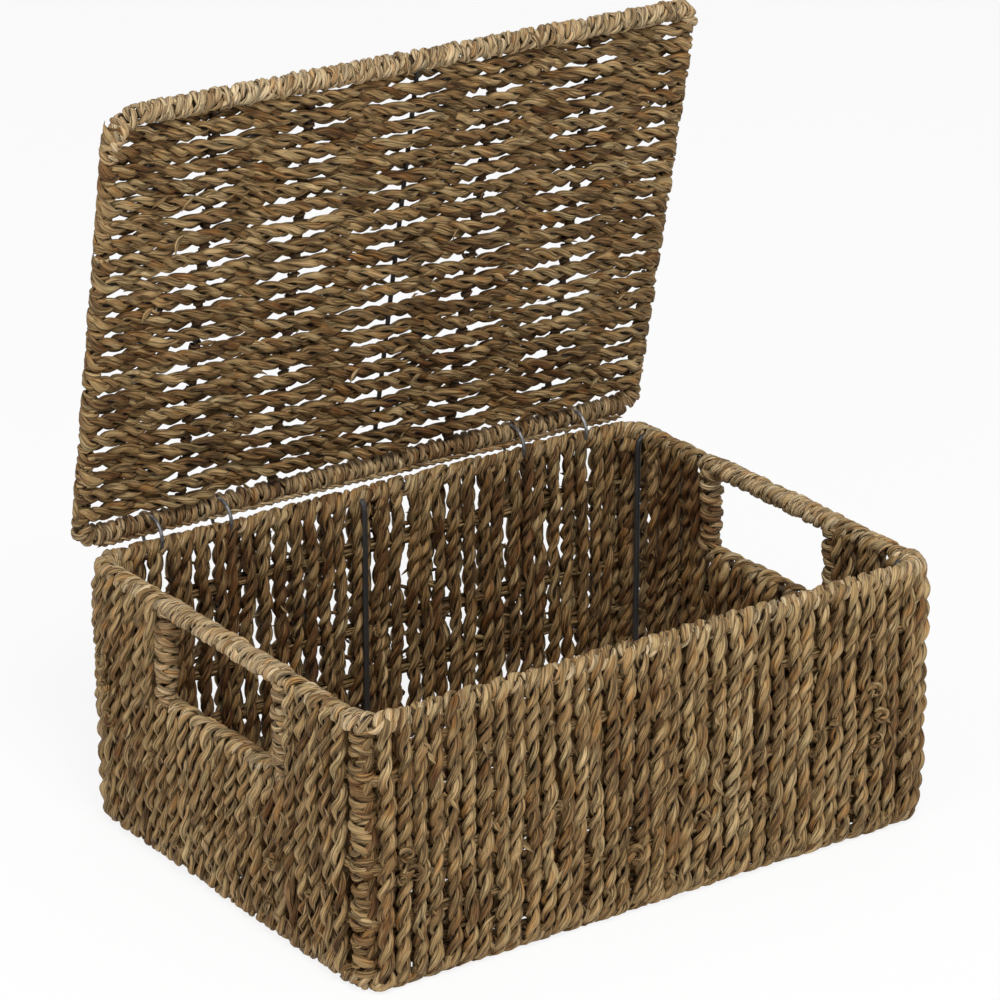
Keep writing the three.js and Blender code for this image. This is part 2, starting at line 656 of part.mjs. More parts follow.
// The lid's bound bars: front and hinge bars, then each side with both its bends
const frontBarLeftX = lidX - LID_LEFT_CORNER_RADIUS - CLEARANCE;
const frontBarRightX = lidX - LID_RIGHT_CORNER_RADIUS - CLEARANCE;
const hingeBarX = lidX - LID_HINGE_CORNER_RADIUS - CLEARANCE;
const lidRooms = [lidFrameRoom, ...lidWireRooms];
const frontBar = tube([
  vector(-frontBarLeftX, lidFrontY, lidBarZ),
  vector(frontBarRightX, lidFrontY, lidBarZ),
], boundOutline);
const hingeBar = tube([
  vector(-hingeBarX, lidBarY, lidBarZ),
  vector(hingeBarX, lidBarY, lidBarZ),
], boundOutline);
addRope(lid, 'lid_front_bar_rope', [frontBar], lidRooms, bindingColour);
const hingeBarRooms = [...lidRooms, ...ringRooms(0, 0)];
addRope(lid, 'lid_hinge_bar_rope', [hingeBar], hingeBarRooms, bindingColour);

[['left', -1], ['right', 1]].forEach(([side, sign]) => {
  const freeRadius = lidCorners[side];
  const frontBend = bend(-lidX + freeRadius, lidFrontY + freeRadius, freeRadius, Math.PI, lidBarZ)
    .reverse();
  const backBend = bend(
    -lidX + LID_HINGE_CORNER_RADIUS,
    lidBarY - LID_HINGE_CORNER_RADIUS,
    LID_HINGE_CORNER_RADIUS,
    Math.PI / 2,
    lidBarZ,
  ).reverse();
  const points = [...frontBend, ...backBend].map((point) => vector(-sign * point.x, point.y, point.z));
  const edge = tube(points, boundOutline, true);
  addRope(lid, `lid_${side}_edge_rope`, [edge], [lidFrameRoom], bindingColour);
});

export default group;
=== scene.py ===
import json
import math

import bpy
import numpy as np
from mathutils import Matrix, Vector


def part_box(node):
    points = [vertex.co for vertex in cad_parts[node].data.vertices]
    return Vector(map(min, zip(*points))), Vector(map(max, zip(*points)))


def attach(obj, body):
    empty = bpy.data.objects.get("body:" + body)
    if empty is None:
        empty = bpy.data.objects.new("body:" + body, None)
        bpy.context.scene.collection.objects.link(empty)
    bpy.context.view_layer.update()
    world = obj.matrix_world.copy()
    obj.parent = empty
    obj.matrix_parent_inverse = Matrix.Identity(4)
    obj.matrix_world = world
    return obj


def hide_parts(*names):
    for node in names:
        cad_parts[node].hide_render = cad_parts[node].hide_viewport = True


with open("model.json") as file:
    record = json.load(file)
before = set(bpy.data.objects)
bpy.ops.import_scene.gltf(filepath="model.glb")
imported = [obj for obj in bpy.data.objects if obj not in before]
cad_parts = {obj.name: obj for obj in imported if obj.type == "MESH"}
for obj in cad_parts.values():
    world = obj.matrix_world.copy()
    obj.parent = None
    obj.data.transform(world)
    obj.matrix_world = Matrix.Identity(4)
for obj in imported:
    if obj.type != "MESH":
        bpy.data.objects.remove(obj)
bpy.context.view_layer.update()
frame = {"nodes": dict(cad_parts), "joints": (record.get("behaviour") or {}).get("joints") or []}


def middle_and_half(node):
    """The middle and the half size of a node's box, in millimetres."""
    low, high = (np.array(corner) * 1000.0 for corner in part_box(node))
    return (low + high) / 2.0, (high - low) / 2.0


def tenths(value):
    """A size to the tenth of a millimetre."""
    return round(float(value), 1)


# Sizes of the box in millimetres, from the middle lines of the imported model's wires
rim_middle, rim_half = middle_and_half("rim_wire")
WIRE_RADIUS = tenths(rim_half[2])
HALF_LENGTH = tenths(rim_half[0] - WIRE_RADIUS)
HALF_WIDTH = tenths(rim_half[1] - WIRE_RADIUS)
RIM_HEIGHT = tenths(rim_middle[2])
BASE_HEIGHT = tenths(middle_and_half("base_wire")[0][2])
WAIST_WIRES = ("low_waist_wire", "middle_waist_wire", "high_waist_wire_front")
WAIST_HEIGHTS = tuple(tenths(middle_and_half(node)[0][2]) for node in WAIST_WIRES)
handle_middle, handle_half = middle_and_half("left_handle_frame")
SILL_HEIGHT = tenths(handle_middle[2] - handle_half[2] + handle_half[0])
JAMB_PLACE = tenths(handle_half[1] - handle_half[0])
CORNER_RADIUS = 14.0

# The stays' places along their walls; the back wall runs the other way
FRONT_STAY = tenths(middle_and_half("front_stay")[0][0])
BACK_STAY = -tenths(middle_and_half("back_stay")[0][0])

# Sizes of the lid, shut, measured from the hinge line
joint = frame["joints"][0]
HINGE = np.round(np.array(joint["pos_m"]) * 1000.0, 3)
OPEN_ANGLE = math.radians(joint["range_deg"][1])
LID_EDGE = tenths(middle_and_half("lid_frame_wire")[1][0] - WIRE_RADIUS)
CROSS_WIRES = tuple(tenths(middle_and_half("lid_cross_wire_" + place)[0][0])
                    for place in ("far_left", "left", "middle", "right", "far_right"))
LID_WIRES = (-LID_EDGE, *CROSS_WIRES, LID_EDGE)
LID_LEVEL = 6.65
HINGE_BAR = -5.43
FREE_BAR = -285.43

# The rope: its radius, and its lay, the length in which its two plies turn round once
ROPE_RADIUS = 4.4
FRONT_ROPE_RADIUS = 4.5
BACK_ROPE_RADIUS = 4.25
LID_ROPE_RADIUS = 4.12
BASE_ROPE_RADIUS = 4.0
WALL_LAY = 25.0
LID_LAY = 25.5
BASE_LAY = 26.0

# A ply's middle line and its section's radius, and a rope's blunt end, as shares of the full size
PLY_REACH_SHARE = 0.48
PLY_SECTION_SHARE = 0.54
BLUNT_SHARE = 0.15

# How far the wall ropes' line stands off the wall's middle, on its faces and round the rim and base wires,
# and the height under the rim over which a run takes on the rim's tone
LAYER = 4.4
TURN_RADIUS = 4.45
RIM_FADE = 14.0

# The weave's pitches, counts and places
RUN_PITCH = 11.0
LONG_WALL_RUNS = 35
MEETING_RUN = 17
SIDE_WALL_RUNS = 21
SIDE_RUN_REACH = 124.0
LID_ROWS = 42
LID_FIRST_ROW = -18.0
LID_ROW_PITCH = 6.27
BASE_ROWS = 41
BASE_ROW_PITCH = 6.65
BASE_WIRES = (-197.0, -120.0, 0.0, 120.0, 197.0)

# Tones: 0 is the finish's plain colour, more is paler and less is darker
# Inner runs are painted darker than outer ones: painted shade for the inside of the box
INSIDE_SHADE_TONE = -1.0
RIM_TONE = 0.5

# Steps along a path before it is evened out and along a rope's mesh, and how many sides a ply has
PATH_STEP = 3.0
ROPE_STEP = 2.2
COARSE_STEP = 4.2
PLY_SIDES = 12
WOUND_PLY_SIDES = 10
THIN_PLY_SIDES = 8
STRAND_SIDES = 6

# The strand map's units round a strand and along a millimetre of it, and the painted-shade level of its
# closed ends, which leaves them unshaded
MAP_GIRTH = 1.2
MAP_LENGTH = 0.1
END_SHADE_LEVEL = 0.5

OUTSIDE, INSIDE = 1.0, -1.0
OVER, UNDER = 0.0, math.pi
UP = np.array([0.0, 0.0, 1.0])


def ramp(value, start, length):
    """0 up to a start, rising evenly to 1 over a length."""
    return np.clip((value - start) / length, 0.0, 1.0)


def drift_rows(rng, at, reach, rows):
    """Slow noise from -1 to 1 along a length, in rows: even random knots, eased between neighbours."""
    knots = int(at[-1] / reach) + 3
    values = rng.uniform(-1.0, 1.0, (rows, knots))
    place = at / reach
    low = place.astype(int)
    part = place - low
    part = part * part * (3.0 - 2.0 * part)
    return values[:, low] * (1.0 - part) + values[:, low + 1] * part


def drift(rng, at, reach):
    """One row of slow noise along a length."""
    return drift_rows(rng, at, reach, 1)[0]


def wander(rng, at, *waves):
    """A sum of slow noises. Each wave is how far it strays and the length over which it changes."""
    return sum(amount * drift(rng, at, reach) for amount, reach in waves)


def gaps_along(path):
    """The distance from each point of a path to the next."""
    return np.linalg.norm(np.diff(path[:, :3], axis=0), axis=1)


def resampled(path, step, rounds=2):
    """The same line at an even step: columns are read off at even lengths, then each inner point is
    averaged with its neighbours a few times to round the corners."""
    path = path[np.concatenate([[True], gaps_along(path) > 1e-6])]
    length = np.concatenate([[0.0], np.cumsum(gaps_along(path))])
    count = max(int(round(length[-1] / step)), 4) + 1
    at = np.linspace(0.0, length[-1], count)
    new = np.stack([np.interp(at, length, column) for column in path.T], axis=1)
    for _ in range(rounds):
        new[1:-1] = 0.25 * new[:-2] + 0.5 * new[1:-1] + 0.25 * new[2:]
    return new, at


def unit(v):
    """Each row of v at length one."""
    return v / np.maximum(np.linalg.norm(v, axis=-1, keepdims=True), 1e-12)


def frames_on(path, lateral):
    """Directions along a path: away, at right angles to it and to a lateral direction, and across."""
    forward = unit(np.gradient(path[:, :3], axis=0))
    away = unit(np.cross(lateral, forward))
    return away, np.cross(forward, away)


def swept(line, out, side, away, across):
    """Rings of points round a line, so far away from it and so far across it."""
    return line[:, None] + out[..., None] * away[:, None] + side[..., None] * across[:, None]


def tapered(at, reach):
    """A factor that narrows both ends of a length over a reach, down to a blunt share."""
    return np.clip(np.minimum(at, at[-1] - at) / reach, BLUNT_SHARE, 1.0)


def tube(rings, at, tone, shade_level, shift):
    """A skin over rings of points, with a fan of triangles closing each end. Its strand map runs round
    and along it, from a shift of its own."""
    count, sides, _ = rings.shape
    i, j = np.meshgrid(np.arange(count - 1), np.arange(sides), indexing="ij")
    near = i * sides + j
    beside = i * sides + (j + 1) % sides
    quads = np.stack([near, beside, beside + sides, near + sides], axis=-1).reshape(-1, 4)
    side = np.arange(sides)
    after = (side + 1) % sides
    first_cap = count * sides
    last_ring = first_cap - sides
    first_fan = np.stack([np.full(sides, first_cap), after, side], axis=-1)
    last_fan = np.stack([np.full(sides, first_cap + 1), last_ring + side, last_ring + after], axis=-1)
    u, u_next = (place / sides * MAP_GIRTH + shift[0] for place in (j, j + 1))
    v, v_next = (at[place] * MAP_LENGTH + shift[1] for place in (i, i + 1))
    corners = ((u, v), (u_next, v), (u_next, v_next), (u, v_next))
    quad_map = np.stack([np.stack(corner, -1) for corner in corners], axis=2).reshape(-1, 2)
    fan_map = np.tile(shift, (2 * 3 * sides, 1))
    return {
        "points": np.concatenate([rings.reshape(-1, 3), rings[0].mean(0)[None], rings[-1].mean(0)[None]]),
        "quads": quads,
        "fans": np.concatenate([first_fan, last_fan]),
        "map": np.concatenate([quad_map, fan_map]),
        "tone": np.concatenate([np.repeat(tone, sides), tone[:1], tone[-1:]]),
        "shade_level": np.concatenate([shade_level.reshape(-1), [END_SHADE_LEVEL, END_SHADE_LEVEL]]),
    }


def folds(rng, at, sides, depth):
    """Lengthwise folds of a strand. Each pair of neighbouring sides sinks in where its own slow noise is
    high, so flat faces start and end along the strand. Gives the section's shape and how deep each face
    lies, 0 to 1."""
    slow = np.repeat(drift_rows(rng, at, 24.0, sides // 2), 2, axis=0)
    sink = ramp(slow + 0.15 * drift_rows(rng, at, 9.0, sides), 0.1, 0.22)
    shape = 1.06 - depth * sink + 0.05 * drift_rows(rng, at, 11.0, sides)
    return shape.T, sink.T


def laid_rope(rng, line, at, away, across, flat, radius, lay, sides=PLY_SIDES, tone=0.0, thin=1.0,
              wide=1.0, rough=1.0, plump=0.18):
    """Two plump plies laid round each other, right-handed. At a turn angle that grows with length, a
    ply's middle lies about half a radius from the rope's line. Its section is a circle with folds,
    fullest on the two faces of the rope and stretched along the way it leans. The section doesn't turn
    with the lay, so folds follow the ply. Flatness presses the rope towards what it bends over and
    spreads it sideways. Angle, share, fatness, reach and tone all stray with slow noise."""
    turn = 2.0 * math.pi * at / lay + rough * wander(rng, at, (1.5, 58.0), (0.8, 30.0), (0.25, 13.0))
    pressed = (thin * (1.0 - 0.40 * flat))[:, None]
    broadened = (wide * (1.0 + 0.20 * flat))[:, None]
    theta = 2.0 * math.pi * np.arange(sides) / sides
    lean = 1.0 / math.cos(math.atan(math.pi * radius / lay)) - 1.0
    ends = tapered(at, 5.0)
    share = 0.15 * rough * drift(rng, at, 34.0)
    rope_tone = tone + 0.7 * drift(rng, at, 75.0)
    plies = []
    for k, side in enumerate((1.0, -1.0)):
        fat = (1.0 + side * share + rough * wander(rng, at, (0.12, 16.0), (0.05, 6.0))) * ends
        middle = 1.0 + 0.13 * rough * drift(rng, at, 26.0) - 0.4 * side * share
        middle = (PLY_REACH_SHARE * radius * middle)[:, None]
        phi = (turn + math.pi * k + 0.18 * rough * drift(rng, at, 21.0))[:, None]
        fat = fat[:, None] * (1.0 + plump * (np.cos(phi) ** 2 - 0.45))
        shape, sink = folds(rng, at, sides, 0.25)
        ring = PLY_SECTION_SHARE * radius * fat * shape
        x = ring * np.cos(theta)
        y = ring * np.sin(theta)
        leaning = lean * (y * np.cos(phi) - x * np.sin(phi))
        u = middle * np.cos(phi) + x - leaning * np.sin(phi)
        v = middle * np.sin(phi) + y + leaning * np.cos(phi)
        # Painted shade: the level falls towards the rope's line, where the plies press together, and in
        # fold valleys, and the leaf finish darkens the colour there
        shade_level = np.clip(np.hypot(u, v) / radius, 0.0, 1.0) * (1.0 - 0.22 * sink)
        ply_tone = rope_tone + 0.3 * rng.uniform(-1.0, 1.0) + wander(rng, at, (0.9, 38.0), (0.5, 12.0))
        rings = swept(line, pressed * u, broadened * v, away, across)
        plies.append(tube(rings, at, ply_tone, shade_level, rng.uniform(0.0, 40.0, 2)))
    return plies


def rope(rng, path, lateral, radius, lay, tone=0.0, wobble=0.9, step=ROPE_STEP, **shape):
    """A laid rope along a path, with a slow wander to both sides. The path's fourth column is its
    flatness, and a fifth one, if there, its paleness."""
    line, at = resampled(path, step)
    away, across = frames_on(line, lateral)
    flat = line[:, 3]
    if line.shape[1] > 4:
        tone = tone + line[:, 4]
    stray = drift(rng, at, 25.0)[:, None] * across + 0.3 * drift(rng, at, 22.0)[:, None] * away
    line = line[:, :3] + wobble * (1.0 - flat)[:, None] * stray
    return laid_rope(rng, line, at, away, across, flat, radius, lay, tone=tone, **shape)


def winding(rng, path, lateral, pitch, reach, radius, lay, hand, tone, start=0.0, flat=0.75, loose=1.0,
            step=ROPE_STEP):
    """A laid rope wound round a wire: its line circles the path at a reach given away from and across
    it, one way or, with a hand of -1, the other, and moves one pitch along it each turn, with uneven
    spacing and puffs."""
    fine, length = resampled(path, 0.8, 1)
    turns = length[-1] / pitch
    wrap = 2.0 * math.pi * math.hypot(*reach) / math.sqrt(2.0)
    count = int(turns * wrap / step) + 8
    share = np.linspace(0.0, 1.0, count)
    wound = share * turns * wrap
    angle = 2.0 * math.pi * turns * share + loose * 0.3 * drift(rng, wound, 26.0)
    place = share * length[-1] + loose * pitch * wander(rng, wound, (0.16, 37.0), (0.16, 15.0))
    place = np.clip(place, 0.0, length[-1])
    middle, away, across = (
        np.stack([np.interp(place, length, column) for column in values.T[:3]], axis=1)
        for values in (fine, *frames_on(fine, lateral)))
    puff = 1.0 + loose * wander(rng, wound, (0.07, 15.0), (0.05, 60.0))
    phi = (start + hand * angle)[:, None]
    out = reach[0] * np.cos(phi) * away + reach[1] * np.sin(phi) * across
    line = middle + puff[:, None] * out
    ahead = unit(np.gradient(line, axis=0))
    sideways = unit(np.cross(ahead, out))
    return laid_rope(rng, line, wound, np.cross(sideways, ahead), sideways, np.full(count, flat), radius,
                     lay, WOUND_PLY_SIDES, tone, plump=0.04)


def strand(rng, line, at, outward, half_width, half_thick, tone=0.0):
    """One flat folded strand along a line: an ellipse, thin outwards and wide across, with folds."""
    forward = unit(np.gradient(line, axis=0))
    across = unit(np.cross(forward, outward))
    outward = np.cross(across, forward)
    theta = math.pi + 2.0 * math.pi * np.arange(STRAND_SIDES) / STRAND_SIDES
    shape, sink = folds(rng, at, STRAND_SIDES, 0.1)
    fat = (1.0 + wander(rng, at, (0.14, 19.0), (0.05, 6.0))) * tapered(at, 4.0)
    out = half_thick * fat[:, None] * shape * np.cos(theta)
    side = half_width * fat[:, None] * np.sin(theta)
    # Painted shade: the level falls towards the strand's edges, a little on its inner side, and more in
    # fold valleys, so the finish darkens the colour there
    shade_level = np.clip(0.74 + 0.26 * np.cos(theta) - 0.35 * np.abs(np.sin(theta)) ** 3, 0.0, 1.0)
    strand_tone = tone + wander(rng, at, (0.5, 30.0), (0.3, 9.0))
    rings = swept(line, out, side, outward, across)
    return tube(rings, at, strand_tone, shade_level * (1.0 - 0.3 * sink), rng.uniform(0.0, 40.0, 2))


def leaf_end(rng, start, along, outward, length, tone):
    """A leaf end that has worked loose: a short flat strip that leaves the rope along its run and curls
    away from it with the square of its length."""
    t = np.linspace(0.0, 1.0, 7)
    side = np.cross(along, outward) * rng.uniform(-0.5, 0.5)
    curl = outward * rng.uniform(0.15, 0.5) + side
    line = start + length * (t[:, None] * along + (t ** 2)[:, None] * curl)
    return strand(rng, line, t * length, outward, half_width=rng.uniform(0.9, 2.2), half_thick=0.45,
                  tone=tone)


def curled_end(rng, start, along, outward, radius, size):
    """A rope end tucked back on itself: a laid rope round one and a quarter turns of a spiral that
    shrinks from its size and stands a little off the wall."""
    t = np.linspace(0.0, 1.0, 26)
    side = np.cross(outward, along)
    angle = 2.5 * math.pi * t + rng.uniform(0.0, 6.0)
    reach = (size * (1.0 - 0.7 * t))[:, None]
    slim = rng.uniform(0.55, 1.0)
    path = start + reach * (np.cos(angle)[:, None] * along + slim * np.sin(angle)[:, None] * side)
    path = path + (1.6 * np.sin(math.pi * t) - 0.8)[:, None] * outward
    path = np.column_stack([path, np.full(len(t), 0.3)])
    return rope(rng, path, outward, radius, 11.0, tone=rng.uniform(-1.2, 0.2), wobble=0.4, step=1.5,
                sides=THIN_PLY_SIDES)


def finished(name, parts, material, body, nodes=()):
    """Joins parts into one mesh, in metres, with its strand map, its tone values and its painted-shade
    levels.
    """
    def joined(key):
        return np.concatenate([part[key] for part in parts])

    offsets = np.cumsum([0] + [len(part["points"]) for part in parts])
    faces = [part[key] + offset for part, offset in zip(parts, offsets) for key in ("quads", "fans")]
    loops = np.concatenate([corners.reshape(-1) for corners in faces]).astype(np.int32)
    totals = np.concatenate([np.full(len(corners), corners.shape[1]) for corners in faces])
    starts = np.concatenate([[0], np.cumsum(totals)[:-1]]).astype(np.int32)
    points = joined("points") * 0.001
    mesh = bpy.data.meshes.new(name)
    mesh.vertices.add(len(points))
    mesh.vertices.foreach_set("co", points.astype(np.float32).reshape(-1))
    mesh.loops.add(len(loops))
    mesh.loops.foreach_set("vertex_index", loops)
    mesh.polygons.add(len(totals))
    mesh.polygons.foreach_set("loop_start", starts)
    mesh.polygons.foreach_set("use_smooth", np.ones(len(totals), bool))
    mesh.update(calc_edges=True)
    layer = mesh.uv_layers.new(name="strand")
    layer.data.foreach_set("uv", joined("map").astype(np.float32).reshape(-1))
    for label in ("tone", "shade_level"):
        attribute = mesh.attributes.new(label, "FLOAT", "POINT")
        attribute.data.foreach_set("value", joined(label).astype(np.float32))
    mesh.validate()
    mesh.materials.append(material)
    piece = bpy.data.objects.new(name, mesh)
    bpy.context.scene.collection.objects.link(piece)
    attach(piece, body)
    if nodes:
        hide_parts(*nodes)


class Wall:
    """A wall at a reach from the box's middle: its axes, along it and outwards, the half length of its
    straight run, and how far and where it swells outwards."""

    CORNER_SPACE = 12.0
    SWELL_LENGTH = 95.0

    def __init__(self, reach, half_length, along, out, swell, swell_place=0.0):
        self.out = np.array([*out, 0.0])
        self.middle = reach * self.out
        self.along = np.array([*along, 0.0])
        self.half = half_length - self.CORNER_SPACE
        self.has_handle = half_length < HALF_LENGTH
        self.swell = swell
        self.swell_place = swell_place

    def place(self, local):
        """Points given along, outwards and up, with further columns kept, set into the frame."""
        s, o, z = local[:, 0], local[:, 1], local[:, 2]
        rise = np.sin(math.pi * np.clip(z / RIM_HEIGHT, 0.0, 1.0))
        o = o + self.swell * rise * np.exp(-((s - self.swell_place) / self.SWELL_LENGTH) ** 2)
        points = self.middle + s[:, None] * self.along + o[:, None] * self.out
        points[:, 2] = z
        return np.concatenate([points, local[:, 3:]], axis=1)


FRONT = Wall(HALF_WIDTH, HALF_LENGTH, (1, 0), (0, -1), 1.5)
RIGHT = Wall(HALF_LENGTH, HALF_WIDTH, (0, 1), (1, 0), 3.0, -40.0)
BACK = Wall(HALF_WIDTH, HALF_LENGTH, (-1, 0), (0, 1), 1.5)
LEFT = Wall(HALF_LENGTH, HALF_WIDTH, (0, -1), (-1, 0), 4.0, -80.0)
WALLS = {"front": FRONT, "right": RIGHT, "back": BACK, "left": LEFT}


class Bend:
    """A corner of the walls: along its bend anticlockwise from a start in degrees, outwards and up."""

    def __init__(self, side_x, side_y, start):
        self.middle = (side_x * (HALF_LENGTH - CORNER_RADIUS), side_y * (HALF_WIDTH - CORNER_RADIUS))
        self.start = math.radians(start)

    def along(self, s):
        """The direction along the bend at a place."""
        angle = self.start + s / CORNER_RADIUS
        return np.array([-math.sin(angle), math.cos(angle), 0.0])

    def place(self, local):
        """Points given along, outwards and up, with further columns kept, set into the frame."""
        angle = self.start + local[:, 0] / CORNER_RADIUS
        reach = CORNER_RADIUS + local[:, 1]
        x = self.middle[0] + reach * np.cos(angle)
        y = self.middle[1] + reach * np.sin(angle)
        return np.column_stack([x, y, local[:, 2:]])


def mid_line(s, z):
    """Points in the middle of a wall or bend. Columns: along, out, up, flatness."""
    s, z = np.broadcast_arrays(s, z)
    zero = np.zeros(len(s))
    return np.column_stack([s, zero, z, zero])


def level_line(wall, low, high, z):
    """A level line in the middle of a wall, from one place along it to another."""
    return wall.place(mid_line(np.linspace(low, high, int(abs(high - low) / 2.0) + 4), z))


def straight(a, b, count):
    """Even points from a to b, with a flatness column."""
    share = np.linspace(0.0, 1.0, count)[:, None]
    return np.column_stack([np.array(a) + share * (np.array(b) - np.array(a)), np.zeros(count)])


def layer_depth(z):
    """How far a rope's line stands off the wall's middle: most at the waist wires."""
    bump = sum(np.exp(-((z - height) / 9.0) ** 2) for height in WAIST_HEIGHTS)
    return LAYER + 0.6 * np.clip(bump, 0.0, 1.0)


def upright(s, face, start, end, top=RIM_HEIGHT, lean=0.0, pale=0.0):
    """One upright run at a place along the wall, on its outside or inside, from one height to another.
    It presses flatter near the top and base wires. Columns: along, out, up, flatness, paleness."""
    z = np.arange(start, end, PATH_STEP if end > start else -PATH_STEP)
    flat = np.clip(ramp(z, top - 11.0, 9.0) + ramp(-z, -BASE_HEIGHT - 9.0, 8.0), 0.0, 1.0)
    depth = layer_depth(z)
    depth = depth + (TURN_RADIUS - depth) * flat
    tone = pale + (RIM_TONE - pale) * ramp(z, top - RIM_FADE, RIM_FADE)
    return np.column_stack([s + lean * (z / top - 0.5), face * depth, z, flat, tone])


def turned(s, s_next, height, way):
    """The half turn over or under a wire, from one place along the wall to the next."""
    count = 9
    turn = np.linspace(way, way + math.pi, count)
    ease = 0.5 - 0.5 * np.cos(turn - way)
    pale = RIM_TONE if way == OVER else 0.0
    return np.column_stack([s + (s_next - s) * ease, TURN_RADIUS * np.cos(turn),
                            height + TURN_RADIUS * np.sin(turn), np.ones(count), np.full(count, pale)])


def lacing(rng, places, tops, stay=None):
    """The rope's line through a wall: down inside, under the base wire, up outside, over the top wire,
    and down inside again between two outer runs. The inner run lies near the middle between them, and
    clear of a stay."""
    last = len(places) - 1
    gap = places[1] - places[0]
    lead = places[0] - 0.5 * gap
    rows = [upright(lead, INSIDE, tops[0] - 6.0, BASE_HEIGHT, tops[0], pale=INSIDE_SHADE_TONE),
            turned(lead, places[0], BASE_HEIGHT, UNDER)]
    for i, (s, top) in enumerate(zip(places, tops)):
        s = s + rng.uniform(-0.6, 0.6)
        rows.append(upright(s, OUTSIDE, BASE_HEIGHT, top, top, rng.uniform(-2.0, 2.0)))
        inner = s + gap * (0.5 + rng.uniform(-0.2, 0.2)) if i < last else s - 3.0
        lean = rng.uniform(-3.0, 3.0)
        if stay is not None and i < last and abs(inner - stay) < 1.2 * gap:
            inner = s + 0.5 * gap
            lean = 0.0
        rows.append(turned(s, inner, top, OVER))
        foot = BASE_HEIGHT if i < last else top - 16.0
        rows.append(upright(inner, INSIDE, top, foot, top, lean, INSIDE_SHADE_TONE))
        if i < last:
            rows.append(turned(inner, places[i + 1], BASE_HEIGHT, UNDER))
    return np.concatenate(rows)


# Materials
def group_input(tree, name, kind, value):
    """A named input of a node group, with its plain value."""
    socket = tree.interface.new_socket(name, in_out="INPUT", socket_type="NodeSocket" + kind)
    socket.default_value = value


def group_outputs(tree):
    """The named outputs of a finish: its colour, roughness and height."""
    for name, kind in (("Colour", "Color"), ("Roughness", "Float"), ("Height", "Float")):
        tree.interface.new_socket(name, in_out="OUTPUT", socket_type="NodeSocket" + kind)


def feed(tree, socket, value):
    """Gives a socket a number, a colour or another socket."""
    if isinstance(value, (int, float)):
        socket.default_value = value
    elif isinstance(value, tuple):
        socket.default_value = (*value, 1.0)
    else:
        tree.links.new(value, socket)


def math_node(tree, operation, *values, clamp=False):
    """A Math node; each input is a number or a socket."""
    node = tree.nodes.new("ShaderNodeMath")
    node.operation = operation
    node.use_clamp = clamp
    for socket, value in zip(node.inputs, values):
        feed(tree, socket, value)
    return node.outputs[0]


def mix_colour(tree, share, a, b, blend="MIX"):
    """A colour Mix node; share is a number or socket, a and b are colours or sockets."""
    node = tree.nodes.new("ShaderNodeMix")
    node.data_type = "RGBA"
    node.blend_type = blend
    for index, value in ((0, share), (6, a), (7, b)):
        feed(tree, node.inputs[index], value)
    return node.outputs[2]


def noise(tree, vector, scale, detail, rough=0.55):
    """Even noise from 0 to 1."""
    node = tree.nodes.new("ShaderNodeTexNoise")
    for name, value in (("Scale", scale), ("Detail", detail), ("Roughness", rough), ("Vector", vector)):
        feed(tree, node.inputs[name], value)
    return node.outputs["Fac"]


def streaks(tree, vector, scale, detail=2.0, rough=0.55):
    """Noise from 0 to 1, stretched by its own scale in each direction."""
    node = tree.nodes.new("ShaderNodeMapping")
    node.inputs["Scale"].default_value = scale
    feed(tree, node.inputs["Vector"], vector)
    return noise(tree, node.outputs["Vector"], 1.0, detail, rough)


def spread(tree, value, low, high):
    """The value with low..high stretched to 0..1."""
    node = tree.nodes.new("ShaderNodeMapRange")
    for name, number in (("From Min", low), ("From Max", high), ("Value", value)):
        feed(tree, node.inputs[name], number)
    return node.outputs["Result"]


def centred(tree, value, amount):
    """A value of 0 to 1 taken to half an amount either side of 0."""
    return math_node(tree, "MULTIPLY_ADD", value, amount, -0.5 * amount)


def fold_lines(tree, vector, scale, width):
    """Thin lines along a strand: where a stretched noise is within a width of its middle value."""
    level = streaks(tree, vector, scale, 1.0, 0.4)
    off = math_node(tree, "ABSOLUTE", math_node(tree, "SUBTRACT", level, 0.5))
    return math_node(tree, "SUBTRACT", 1.0, math_node(tree, "DIVIDE", off, width), clamp=True)


def attribute_value(tree, name):
    """The value that a mesh holds under a name."""
    node = tree.nodes.new("ShaderNodeAttribute")
    node.attribute_name = name
    return node.outputs["Fac"]


